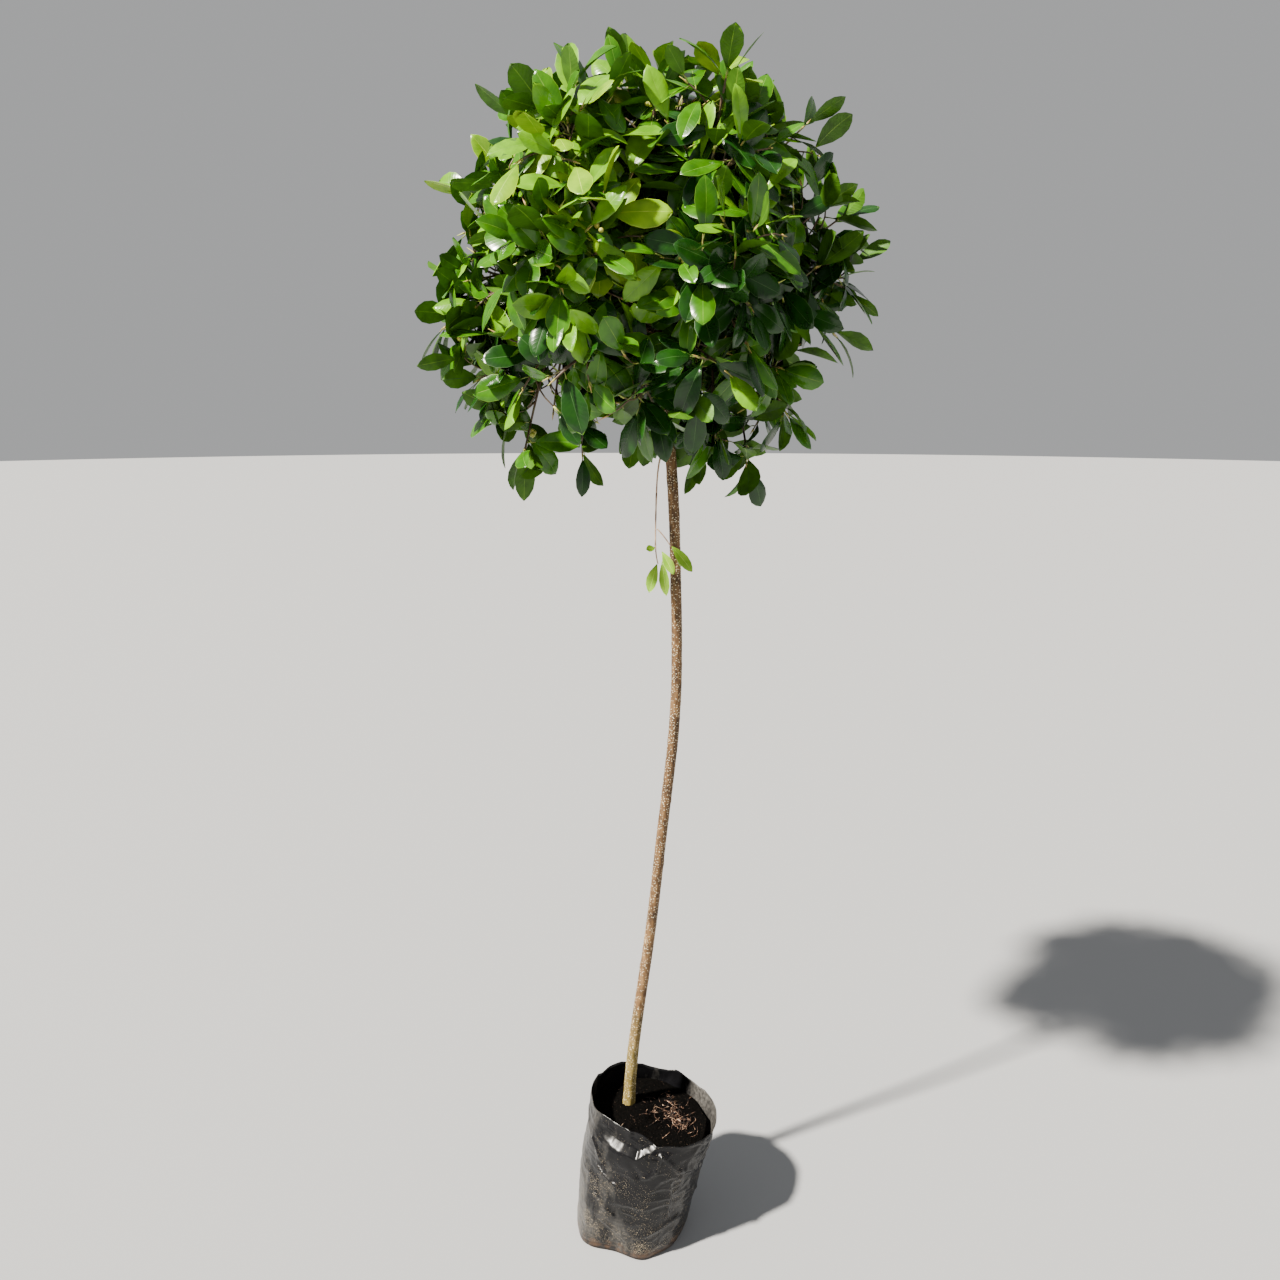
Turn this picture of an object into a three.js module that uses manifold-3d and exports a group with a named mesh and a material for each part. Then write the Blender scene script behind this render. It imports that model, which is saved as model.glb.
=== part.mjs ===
// A standard lollipop topiary: a ball of glossy fig leaves on a bowed clear stem, in a soft nursery bag.
// Millimetres, +Z up. The origin is the middle of the bag's flat underside, and the front looks along -Y.
import * as THREE from 'three';
import Module from 'manifold-3d';
import { mergeVertices } from 'three/addons/utils/BufferGeometryUtils.js';

const wasm = await Module();
wasm.setup();

const DEGREE = Math.PI / 180;
const GOLDEN_TURN = Math.PI * (3 - Math.sqrt(5));
const SEAT_GAP = 0.3;
const FINEST_EDGE = 0.02;

// The bag: a round film sack whose rim stands off to the right of its foot and dips to the right
const RIM_HEIGHT = 216;
const RIM_RADIUS = 100;
const RIM_DIP = 20;
const FOOT_RADIUS = 91;
const FOOT_FLAT = 83;
const BAG_LEAN = 36;
const BAG_WALL = 1.6;
const RIM_WAVE = 2.5;
const FOLD_BEARING = -88 * DEGREE;
const FOLD_DEPTH = 12;
const BAG_SIDES = 26;

// The soil fills the bag to a little below its rim
const SOIL_LEVEL = 192;
const SOIL_FALL = 0.13;
const SOIL_SHRINKAGE = 9;

// The trunk: its flat cut on the soil, its lean and bow as seen from the front, and its girth
const STEM_FOOT = new THREE.Vector2(-3, 34);
const STEM_BOTTOM = SOIL_LEVEL + SEAT_GAP;
const CLEAR_STEM = 1140;
const TRUNK_TOP = 1545;
const STEM_LEAN = 53;
const STEM_BOW = 38;
const BOW_SKEW = 1.4;
const STEM_DEPTH_DRIFT = -28;
const STEM_RADIUS = 7.7;
const STEM_TIP_RADIUS = 3.6;
const FLARE = 2.2;
const FLARE_HEIGHT = 230;
const ROOT_FLARE = 0.8;
const ROOT_FLARE_HEIGHT = 14;

// The crown: its middle, how far its leaf tips reach, and where the boughs hand over to the foliage
const CROWN = new THREE.Vector3(20, 0, 1490);
const CROWN_REACH = 290;
const REACH_SPREAD = 26;
const HUB_SHARE = 0.36;
const STEM_SHARE = 0.62;
const BOUGH_RADIUS = 5;
const BOUGH_TIP_RADIUS = 3.8;

// Rings of foliage masses: how high over the crown's middle they face, where their lowest bough leaves the
// trunk, and the order in which the boughs of a ring follow each other up the trunk
const RINGS = [
  { name: 'low', elevation: -38, turn: 0, fork: 1310, forkStep: 14, order: [0, 2, 1, 3] },
  { name: 'middle', elevation: 2, turn: 0, fork: 1370, forkStep: 13, order: [0, 2, 4, 1, 3, 5] },
  { name: 'upper', elevation: 44, turn: 45, fork: 1452, forkStep: 13, order: [0, 2, 1, 3] },
];

// The long sprays that make the outline: their bearing round the crown's middle, from the right over the top,
// and how far their leaf tips reach. The same ring of sprays is used again in two more upright planes.
const OUTLINE_SPRAYS = [
  { bearing: 96, reach: 304 },
  { bearing: 114, reach: 282 },
  { bearing: 131, reach: 312 },
  { bearing: 152, reach: 308 },
  { bearing: 174, reach: 286 },
  { bearing: 195, reach: 336 },
  { bearing: 209, reach: 320 },
  { bearing: 236, reach: 338 },
  { bearing: 254, reach: 306 },
  { bearing: 284, reach: 296 },
  { bearing: 298, reach: 350 },
  { bearing: 318, reach: 322 },
  { bearing: 343, reach: 324 },
  { bearing: 357, reach: 330 },
  { bearing: 18, reach: 328 },
  { bearing: 41, reach: 344 },
  { bearing: 58, reach: 296 },
  { bearing: 76, reach: 280 },
];
const SPRAY_PLANES = [0, 60, 120];
const SIDE_PLANE_REACH = 0.94;
const SIDE_PLANE_LIMIT = 0.8;

// Shoots and leaves. Leaves are fewer and larger than the real 60 mm ones.
const LATTICE_SHOOTS = 42;
const STEM_CONE = -66 * DEGREE;
const SHOOT_JITTER = 7 * DEGREE;
const SHOOT_RADIUS = 2.5;
const SHOOT_TIP_RADIUS = 1.5;
const SHOOT_ARCH = 16;
const SHOOT_INSET = 0.88;
const FIRST_SHOOT = 0.1;
const LAST_SHOOT = 0.97;
const LEAVES_PER_SHOOT = 7;
const LEAVES_PER_STEM = 6;
const FIRST_LEAF = 0.3;
const LEAF_LENGTH = 90;
const LEAF_WIDTH = 49;
const LEAF_THICKNESS = 2;
const LEAF_SPREAD = 54 * DEGREE;
const LEAF_SPREAD_AT_TIP = 26 * DEGREE;
const LEAF_TRIES = 8;
const SPACE_MARGIN = 0.6;

// A thin shoot that hangs beside the clear stem with a few young leaves
const HANGING_FORK = 1268;
const HANGING_DROP = 128;
const HANGING_STANDOFF = 24;
const HANGING_RADIUS = 1.6;
const HANGING_LEAF = 0.72;

const MATERIALS = {
  film: new THREE.MeshStandardMaterial({ color: 0x25262a, roughness: 0.32, metalness: 0 }),
  soil: new THREE.MeshStandardMaterial({ color: 0x2a1a12, roughness: 0.95, metalness: 0 }),
  bark: new THREE.MeshStandardMaterial({ color: 0x8f7355, roughness: 0.85, metalness: 0 }),
  leaf: new THREE.MeshStandardMaterial({ color: 0x2f6b1e, roughness: 0.35, metalness: 0 }),
};

const plant = new THREE.Group();

function smoothstep(low, high, value) {
  const t = Math.min(Math.max((value - low) / (high - low), 0), 1);
  return t * t * (3 - 2 * t);
}

// A repeatable stream of numbers between 0 and 1
function seeded(seed) {
  let state = seed;
  return () => {
    state = (state * 16807) % 2147483647;
    return state / 2147483647;
  };
}

// Only position is kept and shared corners are merged, so that the surface is one closed skin
function weld(geometry) {
  geometry.deleteAttribute('normal');
  geometry.deleteAttribute('uv');
  const welded = mergeVertices(geometry, 1e-4);
  const corners = welded.index.array;
  const kept = [];
  for (let i = 0; i < corners.length; i += 3) {
    const [a, b, c] = [corners[i], corners[i + 1], corners[i + 2]];
    if (a !== b && b !== c && c !== a) {
      kept.push(a, b, c);
    }
  }
  welded.setIndex(kept);
  return welded;
}

function solidOf(geometry) {
  const skin = weld(geometry);
  return new wasm.Manifold(new wasm.Mesh({
    numProp: 3,
    vertProperties: Float32Array.from(skin.attributes.position.array),
    triVerts: Uint32Array.from(skin.index.array),
  }));
}

// The largest body of a solid, without the loose scraps and the sealed hollows that joining can leave, and
// with edges shorter than FINEST_EDGE drawn together
function largestBody(solid) {
  const body = solid.decompose().reduce((best, piece) => (piece.volume() > best.volume() ? piece : best));
  return body.simplify(FINEST_EDGE);
}

function addPiece(name, solid, material) {
  const mesh = largestBody(solid).getMesh();
  const geometry = new THREE.BufferGeometry();
  geometry.setAttribute('position', new THREE.Float32BufferAttribute(mesh.vertProperties, 3));
  geometry.setIndex(Array.from(mesh.triVerts));
  const piece = new THREE.Mesh(geometry, material);
  piece.name = name;
  plant.add(piece);
}

// A limb along a curve: each ring of the rod is carried to its place on the curve, square to it
function limb(curve, radiusAt, sides, steps) {
  const rod = new THREE.CylinderGeometry(1, 1, 1, sides, steps);
  rod.rotateX(Math.PI / 2);
  const overall = curve.getPoint(1).sub(curve.getPoint(0)).normalize();
  const reference = Math.abs(overall.z) < 0.9 ? new THREE.Vector3(0, 0, 1) : new THREE.Vector3(1, 0, 0);
  const place = rod.attributes.position;
  for (let i = 0; i < place.count; i += 1) {
    const share = Math.min(Math.max(place.getZ(i) + 0.5, 0), 1);
    const centre = curve.getPoint(share);
    const along = curve.getTangent(share);
    const across = new THREE.Vector3().crossVectors(reference, along).normalize();
    const up = new THREE.Vector3().crossVectors(along, across);
    const radius = radiusAt(share);
    centre.addScaledVector(across, radius * place.getX(i)).addScaledVector(up, radius * place.getY(i));
    place.setXYZ(i, centre.x, centre.y, centre.z);
  }
  return solidOf(rod);
}

// The trunk's axis at a height: a lean, a bow that is fullest above half height, and a small waver
function stemAxis(height) {
  const share = (height - SOIL_LEVEL) / CLEAR_STEM;
  const bow = STEM_BOW * Math.sin(Math.PI * Math.max(share, 0) ** BOW_SKEW);
  const waver = 1.4 * Math.sin(height / 62);
  return new THREE.Vector3(
    STEM_FOOT.x + STEM_LEAN * share + bow + waver,
    STEM_FOOT.y + STEM_DEPTH_DRIFT * share + 0.8 * waver,
    height,
  );
}

function stemRadius(height) {
  const rise = height - SOIL_LEVEL;
  const taper = smoothstep(CLEAR_STEM - 100, TRUNK_TOP - SOIL_LEVEL, rise) * (STEM_RADIUS - STEM_TIP_RADIUS);
  const flare = FLARE * Math.exp(-rise / FLARE_HEIGHT) + ROOT_FLARE * Math.exp(-rise / ROOT_FLARE_HEIGHT);
  return STEM_RADIUS - taper + flare;
}

// Level rings stacked up the trunk's axis, so that both of its ends are flat cuts
function trunkSolid(bottom, clearance) {
  const rod = new THREE.CylinderGeometry(1, 1, 1, 8, 22);
  rod.rotateX(Math.PI / 2);
  const place = rod.attributes.position;
  for (let i = 0; i < place.count; i += 1) {
    const height = bottom + (TRUNK_TOP - bottom) * (place.getZ(i) + 0.5) ** 1.15;
    const centre = stemAxis(height);
    const radius = stemRadius(height) + clearance;
    place.setXYZ(i, centre.x + radius * place.getX(i), centre.y + radius * place.getY(i), height);
  }
  return solidOf(rod);
}

// The rim's height round the bag: it dips to the right, waves a little and drops into one deep fold
function rimHeight(bearing) {
  const fold = Math.exp(-(((bearing - FOLD_BEARING) / 0.2) ** 2));
  const waves = Math.sin(3 * bearing + 0.6) + 0.7 * Math.sin(7 * bearing);
  return RIM_HEIGHT - RIM_DIP * Math.cos(bearing) + RIM_WAVE * waves - FOLD_DEPTH * fold;
}

function bagRadius(share) {
  return FOOT_RADIUS + (RIM_RADIUS - FOOT_RADIUS) * Math.sin(0.5 * Math.PI * Math.min(share, 1)) ** 0.8;
}

// How far the film stands out: its top leans in over the soil at the front left and out at the right, and its
// foot has blunt corners with flat runs between
function filmSlack(bearing, height) {
  const hump = (centre, width) => Math.exp(-(((bearing - centre) / width) ** 2));
  const top = 6 * hump(-0.1, 0.8) - 19 * hump(-2.05, 0.62);
  const corners = 6 * hump(-2.46, 0.24) + 5 * hump(-1.38, 0.22) + 3 * hump(-0.84, 0.25);
  const foot = 2 * Math.cos(5 * bearing + 0.4) * Math.cos(bearing / 2 - 0.8) ** 2;
  const low = 1 - smoothstep(10, 125, height);
  return smoothstep(150, RIM_HEIGHT, height) * top + low * (foot + corners - 9 * hump(-1.92, 0.34));
}

// A turned shape becomes soft: its height follows the rim and it leans over as it rises
function slump(geometry) {
  const place = geometry.attributes.position;
  for (let i = 0; i < place.count; i += 1) {
    const [x, y, height] = [place.getX(i), place.getY(i), place.getZ(i)];
    const share = height / RIM_HEIGHT;
    const bearing = Math.atan2(y, x);
    const lift = (rimHeight(bearing) - RIM_HEIGHT) * share ** 2;
    const grown = 1 + filmSlack(bearing, height) / FOOT_RADIUS;
    const lifted = height + lift * Math.min(Math.hypot(x, y) / 60, 1);
    place.setXYZ(i, x * grown + BAG_LEAN * share, y * grown, lifted);
  }
  return geometry;
}

// A profile turned about +Z
function turned(profile, sides) {
  const shape = new THREE.LatheGeometry(profile.map(([r, z]) => new THREE.Vector2(r, z)), sides);
  shape.rotateX(Math.PI / 2);
  return shape;
}

function bagProfile(inset, top) {
  const profile = [];
  for (const share of [0.06, 0.16, 0.36, 0.6, 0.82]) {
    profile.push([bagRadius(share) - inset, share * top]);
  }
  profile.push([bagRadius(1) - inset, top]);
  return profile;
}

function makeBag() {
  const outside = [[0, 0], [FOOT_FLAT, 0], [FOOT_RADIUS - 1.5, 5], ...bagProfile(0, RIM_HEIGHT)];
  const inside = [...bagProfile(BAG_WALL, RIM_HEIGHT)].reverse();
  inside.push([FOOT_FLAT, BAG_WALL + 1], [0, BAG_WALL + 1]);
  addPiece('bag', solidOf(slump(turned([...outside, ...inside], BAG_SIDES))), MATERIALS.film);
}

// The soil's surface has low heaps, falls a little to the right, where it has shrunk from the film, and is
// level where the trunk stands
function makeSoil() {
  const inset = BAG_WALL + SEAT_GAP + 2.2;
  const floor = BAG_WALL + 1 + SEAT_GAP;
  const sides = bagProfile(inset, RIM_HEIGHT).filter(([, z]) => z > floor && z < SOIL_LEVEL - 10);
  const edge = bagRadius(SOIL_LEVEL / RIM_HEIGHT) - inset;
  const top = [1, 0.7, 0.35].map((share) => [edge * share, SOIL_LEVEL]);
  const shape = turned([[0, floor], [FOOT_FLAT - 4, floor], ...sides, ...top, [0, SOIL_LEVEL]], BAG_SIDES);
  const place = shape.attributes.position;
  const surface = Array.from({ length: place.count }, (_, i) => place.getZ(i) > SOIL_LEVEL - 1);
  slump(shape);
  for (let i = 0; i < place.count; i += 1) {
    if (surface[i]) {
      const middle = (BAG_LEAN * SOIL_LEVEL) / RIM_HEIGHT;
      const bearing = Math.atan2(place.getY(i), place.getX(i) - middle);
      const shrunk = 1 - (SOIL_SHRINKAGE / edge) * Math.exp(-(((bearing + 0.1) / 0.8) ** 2));
      const [x, y] = [middle + (place.getX(i) - middle) * shrunk, place.getY(i) * shrunk];
      const away = smoothstep(16, 50, Math.hypot(x - STEM_FOOT.x, y - STEM_FOOT.y));
      const heaps = 2.5 * Math.sin(x / 17) * Math.cos(y / 13) - SOIL_FALL * Math.max(x - STEM_FOOT.x, 0);
      place.setXYZ(i, x + (BAG_LEAN / RIM_HEIGHT) * away * heaps, y, SOIL_LEVEL + 1 + away * heaps);
    }
  }
  const seat = trunkSolid(STEM_BOTTOM - SEAT_GAP, SEAT_GAP);
  addPiece('soil', solidOf(shape).subtract(seat), MATERIALS.soil);
}

function towards(azimuth, elevation) {
  const flat = Math.cos(elevation);
  return new THREE.Vector3(flat * Math.cos(azimuth), flat * Math.sin(azimuth), Math.sin(elevation));
}

function onCrown(direction, distance) {
  return CROWN.clone().addScaledVector(direction, distance);
}

// Each mass faces one way from the crown's middle, and is carried by a bough of the same number
function layOutMasses() {
  const masses = [];
  for (const ring of RINGS) {
    for (const [k, rank] of ring.order.entries()) {
      const azimuth = (ring.turn + (360 * k) / ring.order.length) * DEGREE;
      masses.push({
        label: `${ring.name}_${k + 1}`,
        facing: towards(azimuth, ring.elevation * DEGREE),
        fork: ring.fork + ring.forkStep * rank,
      });
    }
  }
  masses.push({ label: 'top', facing: towards(0, 90 * DEGREE), fork: null });
  return masses;
}

// A bough rises from the trunk's axis and bends over towards the way that its mass faces
function boughCurve(mass) {
  const start = stemAxis(mass.fork);
  const end = onCrown(mass.facing, CROWN_REACH * HUB_SHARE);
  const bend = start.clone().lerp(end, 0.5).add(new THREE.Vector3(0, 0, -0.1 * start.distanceTo(end)));
  return new THREE.QuadraticBezierCurve3(start, bend, end);
}

// The stem inside a mass goes on from the end of its bough, or of the trunk, after the seat's gap
function massStem(mass) {
  let end = stemAxis(TRUNK_TOP);
  let along = new THREE.Vector3(0, 0, 1);
  if (mass.bough) {
    end = mass.bough.getPoint(1);
    along = mass.bough.getTangent(1);
  }
  const start = end.addScaledVector(along, SEAT_GAP);
  const reach = mass.bough ? STEM_SHARE : STEM_SHARE * 0.9;
  const tip = onCrown(mass.facing, CROWN_REACH * reach);
  const bend = start.clone().addScaledVector(along, 0.4 * start.distanceTo(tip));
  return new THREE.QuadraticBezierCurve3(start, bend, tip);
}

// Shoot directions: an even lattice over the whole ball, and the rings of long outline sprays
function layOutShoots() {
  const random = seeded(18713);
  const shoots = [];
  for (let m = 0; m < LATTICE_SHOOTS; m += 1) {
    const elevation = Math.asin(1 - (2 * (m + 0.5)) / LATTICE_SHOOTS) + SHOOT_JITTER * (random() - 0.5);
    const azimuth = m * GOLDEN_TURN + SHOOT_JITTER * (random() - 0.5);
    const reach = CROWN_REACH + REACH_SPREAD * (random() - 0.7);
    const roll = 2 * Math.PI * random();
    if (elevation > STEM_CONE) {
      shoots.push({ direction: towards(azimuth, elevation), reach, roll });
    }
  }
  for (const [plane, azimuth] of SPRAY_PLANES.entries()) {
    OUTLINE_SPRAYS.forEach((spray, k) => {
      const mirrored = OUTLINE_SPRAYS[(k + 4 * plane) % OUTLINE_SPRAYS.length];
      const reach = plane === 0 ? spray.reach : mirrored.reach * SIDE_PLANE_REACH;
      const direction = towards(0, spray.bearing * DEGREE);
      direction.applyAxisAngle(new THREE.Vector3(0, 0, 1), azimuth * DEGREE);
      const roll = 2 * Math.PI * random();
      const crowded = plane > 0 && Math.abs(direction.z) > SIDE_PLANE_LIMIT;
      if (!crowded) {
        shoots.push({ direction, reach, roll });
      }
    });
  }
  return shoots;
}

// The space of a mass is every point nearer to the way it faces than to the way that any other one does
function inSpace(point, mass, masses) {
  const offset = point.clone().sub(CROWN);
  return masses.every((other) => {
    if (other === mass) {
      return true;
    }
    const apart = mass.facing.clone().sub(other.facing);
    return offset.dot(apart) > SPACE_MARGIN * apart.length();
  });
}

// A leaf: a flat lozenge with its root on the shoot's axis, its upper face turned towards the shoot's tip
function leafSolid(root, along, upper, scale) {
  const across = new THREE.Vector3().crossVectors(along, upper).normalize();
  const above = new THREE.Vector3().crossVectors(across, along).normalize();
  const lozenge = new THREE.OctahedronGeometry(1, 0);
  lozenge.translate(0, 1, 0);
  const half = new THREE.Vector3(LEAF_WIDTH, LEAF_LENGTH, LEAF_THICKNESS).multiplyScalar(scale / 2);
  lozenge.scale(half.x, half.y, half.z);
  lozenge.applyMatrix4(new THREE.Matrix4().makeBasis(across, along, above).setPosition(root));
  return { solid: solidOf(lozenge), geometry: lozenge, middle: root.clone().addScaledVector(along, half.y) };
}

function cornersOf(geometry) {
  const place = geometry.attributes.position;
  return Array.from({ length: place.count }, (_, i) => new THREE.Vector3().fromBufferAttribute(place, i));
}

// Leaves stand round a shoot by the golden turn. One that would leave its space, or touch a limb, another
// shoot or another leaf, is turned on round the shoot, and is skipped when no turn fits.
function leavesOn(curve, roll, count, mass, masses, others, leaves) {
  for (let k = 0; k < count; k += 1) {
    const share = FIRST_LEAF + ((0.99 - FIRST_LEAF) * k) / (count - 1);
    const last = k === count - 1;
    const spread = last ? 0.1 : THREE.MathUtils.lerp(LEAF_SPREAD, LEAF_SPREAD_AT_TIP, share);
    const root = curve.getPoint(share);
    const along = curve.getTangent(share);
    const side = new THREE.Vector3(0, 0, 1).cross(along).normalize();
    for (let attempt = 0; attempt < LEAF_TRIES; attempt += 1) {
      const outward = side.clone().applyAxisAngle(along, roll + (k + 1.7 * attempt) * GOLDEN_TURN);
      const blade = along.clone().multiplyScalar(Math.cos(spread)).addScaledVector(outward, Math.sin(spread));
      const upper = along.clone().addScaledVector(outward, -0.4).add(new THREE.Vector3(0, 0, 0.5));
      const leaf = leafSolid(root, blade.normalize(), upper, 1);
      const fits = cornersOf(leaf.geometry).every((corner) => inSpace(corner, mass, masses));
      if (fits && isClear(leaf, others, leaves)) {
        leaves.push(leaf);
        break;
      }
    }
  }
}

function isClear(leaf, others, leaves) {
  const crosses = leaves.some((placed) => (
    placed.middle.distanceTo(leaf.middle) < LEAF_LENGTH && !placed.solid.intersect(leaf.solid).isEmpty()));
  return !crosses && leaf.solid.intersect(others).isEmpty();
}

// A shoot leaves its mass's stem and arches out to the crown's edge, most of a leaf short of its reach. The
// shoots of a mass leave its stem one above the other, and the one that goes on straightest leaves last.
function shootCurve(shoot, mass, rank) {
  const start = mass.stem.getPoint(THREE.MathUtils.lerp(FIRST_SHOOT, LAST_SHOOT, rank));
  const inset = shoot.direction.clone().lerp(mass.facing, 1 - SHOOT_INSET).normalize();
  const end = onCrown(inset, shoot.reach - 0.8 * LEAF_LENGTH);
  const arch = shoot.direction.z < 0 ? SHOOT_ARCH : -SHOOT_ARCH;
  const bend = start.clone().lerp(end, 0.5).add(new THREE.Vector3(0, 0, arch));
  return new THREE.QuadraticBezierCurve3(start, bend, end);
}

function makeMass(mass, masses, shoots, limbs) {
  const stemTaper = (share) => THREE.MathUtils.lerp(BOUGH_TIP_RADIUS - 0.4, SHOOT_RADIUS + 0.4, share);
  const shootTaper = (share) => THREE.MathUtils.lerp(SHOOT_RADIUS, SHOOT_TIP_RADIUS, share);
  const stem = limb(mass.stem, stemTaper, 4, 3);
  const twigs = [];
  const straightness = (shoot) => shoot.direction.dot(mass.facing);
  const own = shoots.filter((one) => one.mass === mass).sort((a, b) => straightness(a) - straightness(b));
  for (const [k, shoot] of own.entries()) {
    const curve = shootCurve(shoot, mass, k / (own.length - 1));
    const solid = limb(curve, shootTaper, 3, 2);
    const ends = [curve.v1, curve.v2].every((point) => inSpace(point, mass, masses));
    if (ends && solid.intersect(limbs).isEmpty()) {
      twigs.push({ curve, solid, roll: shoot.roll });
    }
  }
  const leaves = [];
  const shootSolids = twigs.map((twig) => twig.solid);
  leavesOn(mass.stem, 0, LEAVES_PER_STEM, mass, masses, wasm.Manifold.union([limbs, ...shootSolids]), leaves);
  for (const twig of twigs) {
    const others = twigs.filter((one) => one !== twig).map((one) => one.solid);
    const inTheWay = wasm.Manifold.union([limbs, ...others]);
    leavesOn(twig.curve, twig.roll, LEAVES_PER_SHOOT, mass, masses, inTheWay, leaves);
  }
  const parts = [stem, ...twigs.map((twig) => twig.solid), ...leaves.map((leaf) => leaf.solid)];
  addPiece(`foliage_${mass.label}`, wasm.Manifold.union(parts), MATERIALS.leaf);
}

// The hanging shoot leaves the left of the trunk, drops beside it and ends in a tuft of young leaves
function makeHangingShoot() {
  const axis = stemAxis(HANGING_FORK);
  const seat = stemRadius(HANGING_FORK) + SEAT_GAP;
  const start = axis.clone().add(new THREE.Vector3(-seat - 0.2, 0, 0));
  const elbow = start.clone().add(new THREE.Vector3(-HANGING_STANDOFF, -12, 6));
  const low = stemAxis(HANGING_FORK - HANGING_DROP).add(new THREE.Vector3(-HANGING_STANDOFF, -16, 0));
  const curve = new THREE.QuadraticBezierCurve3(start, elbow, low);
  const pieces = [limb(curve, () => HANGING_RADIUS, 3, 6)];
  for (const [k, share] of [0.74, 0.84, 0.9, 0.96, 0.995].entries()) {
    const azimuth = (k * 144 + 200) * DEGREE;
    const blade = towards(azimuth, -58 * DEGREE);
    const bladeLeaf = leafSolid(curve.getPoint(share), blade, towards(azimuth, 32 * DEGREE), HANGING_LEAF);
    if (bladeLeaf.solid.intersect(trunkSolid(STEM_BOTTOM, 1)).isEmpty()) {
      pieces.push(bladeLeaf.solid);
    }
  }
  const shoot = wasm.Manifold.union(pieces).subtract(trunkSolid(STEM_BOTTOM, SEAT_GAP));
  addPiece('foliage_hanging_shoot', shoot, MATERIALS.leaf);
  return shoot;
}

function makePlant() {
  makeBag();
  makeSoil();
  const trunk = trunkSolid(STEM_BOTTOM, 0);
  const cleared = trunkSolid(STEM_BOTTOM, SEAT_GAP);
  addPiece('trunk', trunk, MATERIALS.bark);
  const keepOut = [trunkSolid(STEM_BOTTOM, 1), makeHangingShoot()];
  const masses = layOutMasses();
  const taper = (share) => THREE.MathUtils.lerp(BOUGH_RADIUS, BOUGH_TIP_RADIUS, share);
  for (const mass of masses.filter((one) => one.fork !== null)) {
    mass.bough = boughCurve(mass);
    addPiece(`bough_${mass.label}`, limb(mass.bough, taper, 5, 3).subtract(cleared), MATERIALS.bark);
    keepOut.push(limb(mass.bough, (share) => taper(share) + 1, 5, 3));
  }
  const limbs = wasm.Manifold.union(keepOut);
  for (const mass of masses) {
    mass.stem = massStem(mass);
  }
  const shoots = layOutShoots();
  for (const shoot of shoots) {
    shoot.mass = masses.reduce((best, mass) => (
      mass.facing.dot(shoot.direction) > best.facing.dot(shoot.direction) ? mass : best));
  }
  for (const mass of masses) {
    makeMass(mass, masses, shoots, limbs);
  }
}

makePlant();

export default plant;
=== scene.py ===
"""The looks of a standard lollipop topiary: a ball of glossy fig leaves on a bowed clear stem, in a soft
nursery bag of compost. Every surface is worked out in millimetres as numpy arrays and placed in metres."""

import math

import bpy
import numpy as np
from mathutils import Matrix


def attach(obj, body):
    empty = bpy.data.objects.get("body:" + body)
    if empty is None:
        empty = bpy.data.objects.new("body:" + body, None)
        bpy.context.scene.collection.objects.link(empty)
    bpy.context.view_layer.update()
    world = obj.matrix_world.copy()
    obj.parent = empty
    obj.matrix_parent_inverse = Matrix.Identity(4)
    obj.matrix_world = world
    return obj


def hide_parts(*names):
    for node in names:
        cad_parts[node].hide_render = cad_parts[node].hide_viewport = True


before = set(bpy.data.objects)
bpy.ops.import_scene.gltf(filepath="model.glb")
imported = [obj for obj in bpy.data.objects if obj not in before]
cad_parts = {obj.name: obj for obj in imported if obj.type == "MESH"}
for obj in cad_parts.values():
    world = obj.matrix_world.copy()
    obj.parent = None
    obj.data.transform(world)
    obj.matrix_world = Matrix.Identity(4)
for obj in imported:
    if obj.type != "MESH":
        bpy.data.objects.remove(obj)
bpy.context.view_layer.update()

MM = 0.001
DEGREE = math.pi / 180
GOLDEN_TURN = math.pi * (3 - math.sqrt(5))
UP = np.array([0.0, 0.0, 1.0])

# The bag, as the model has it: rim, foot, lean and dip
RIM_HEIGHT = 216
RIM_RADIUS = 100
RIM_DIP = 20
FOOT_RADIUS = 91
FOOT_FLAT = 83
BAG_LEAN = 36
RIM_WAVE = 2.5
FOLD_BEARING = -88 * DEGREE
FOLD_DEPTH = 12
FILM = 0.5

# Small corners of the cut rim: bearing in degrees and height
RIM_KINKS = [
    (0, 0), (20, -1), (30, 1), (52, -1), (66, 3.5), (74, -1), (92, -1.5), (99, 1), (109, -2), (121, 2),
    (134, 1), (146, -2), (155, 1.5), (168, -1), (180, 1), (-165, -1), (-150, 1.5), (-135, -1), (-118, 1),
    (-60, 0), (-44, 1.5), (-28, -1),
]

# Creases of the film that show in front: start, end, how far they stand out and how wide they are
FILM_FOLDS = [
    ((-140, 146), (-111, 131), 4.2, 4), ((-137, 101), (-114, 78), 4.6, 4), ((-152, 178), (-126, 150), 3.0, 6),
    ((-81, 203), (-62, 172), 3.4, 7), ((-81, 203), (-84, 178), 3.2, 5), ((-96, 156), (-84, 176), 3.2, 6),
    ((-103, 169), (-96, 156), -3.4, 9), ((-68, 150), (-62, 78), 3.0, 6), ((-60, 172), (-30, 149), 2.8, 8),
    ((-125, 60), (-100, 34), 2.2, 6), ((-80, 52), (-50, 70), 2.2, 7), ((-45, 120), (-20, 90), 2.4, 8),
]

# Layers of noise in the film: cells round the bag and up it, and how far and how wide their creases stand
FILM_LAYERS = [(8, 5, 2.2, 0.42), (13, 8, 2.0, 0.42), (23, 14, 1.1, 0.45), (43, 27, 0.45, 0.6)]
FINE_LAYER = 10

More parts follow.
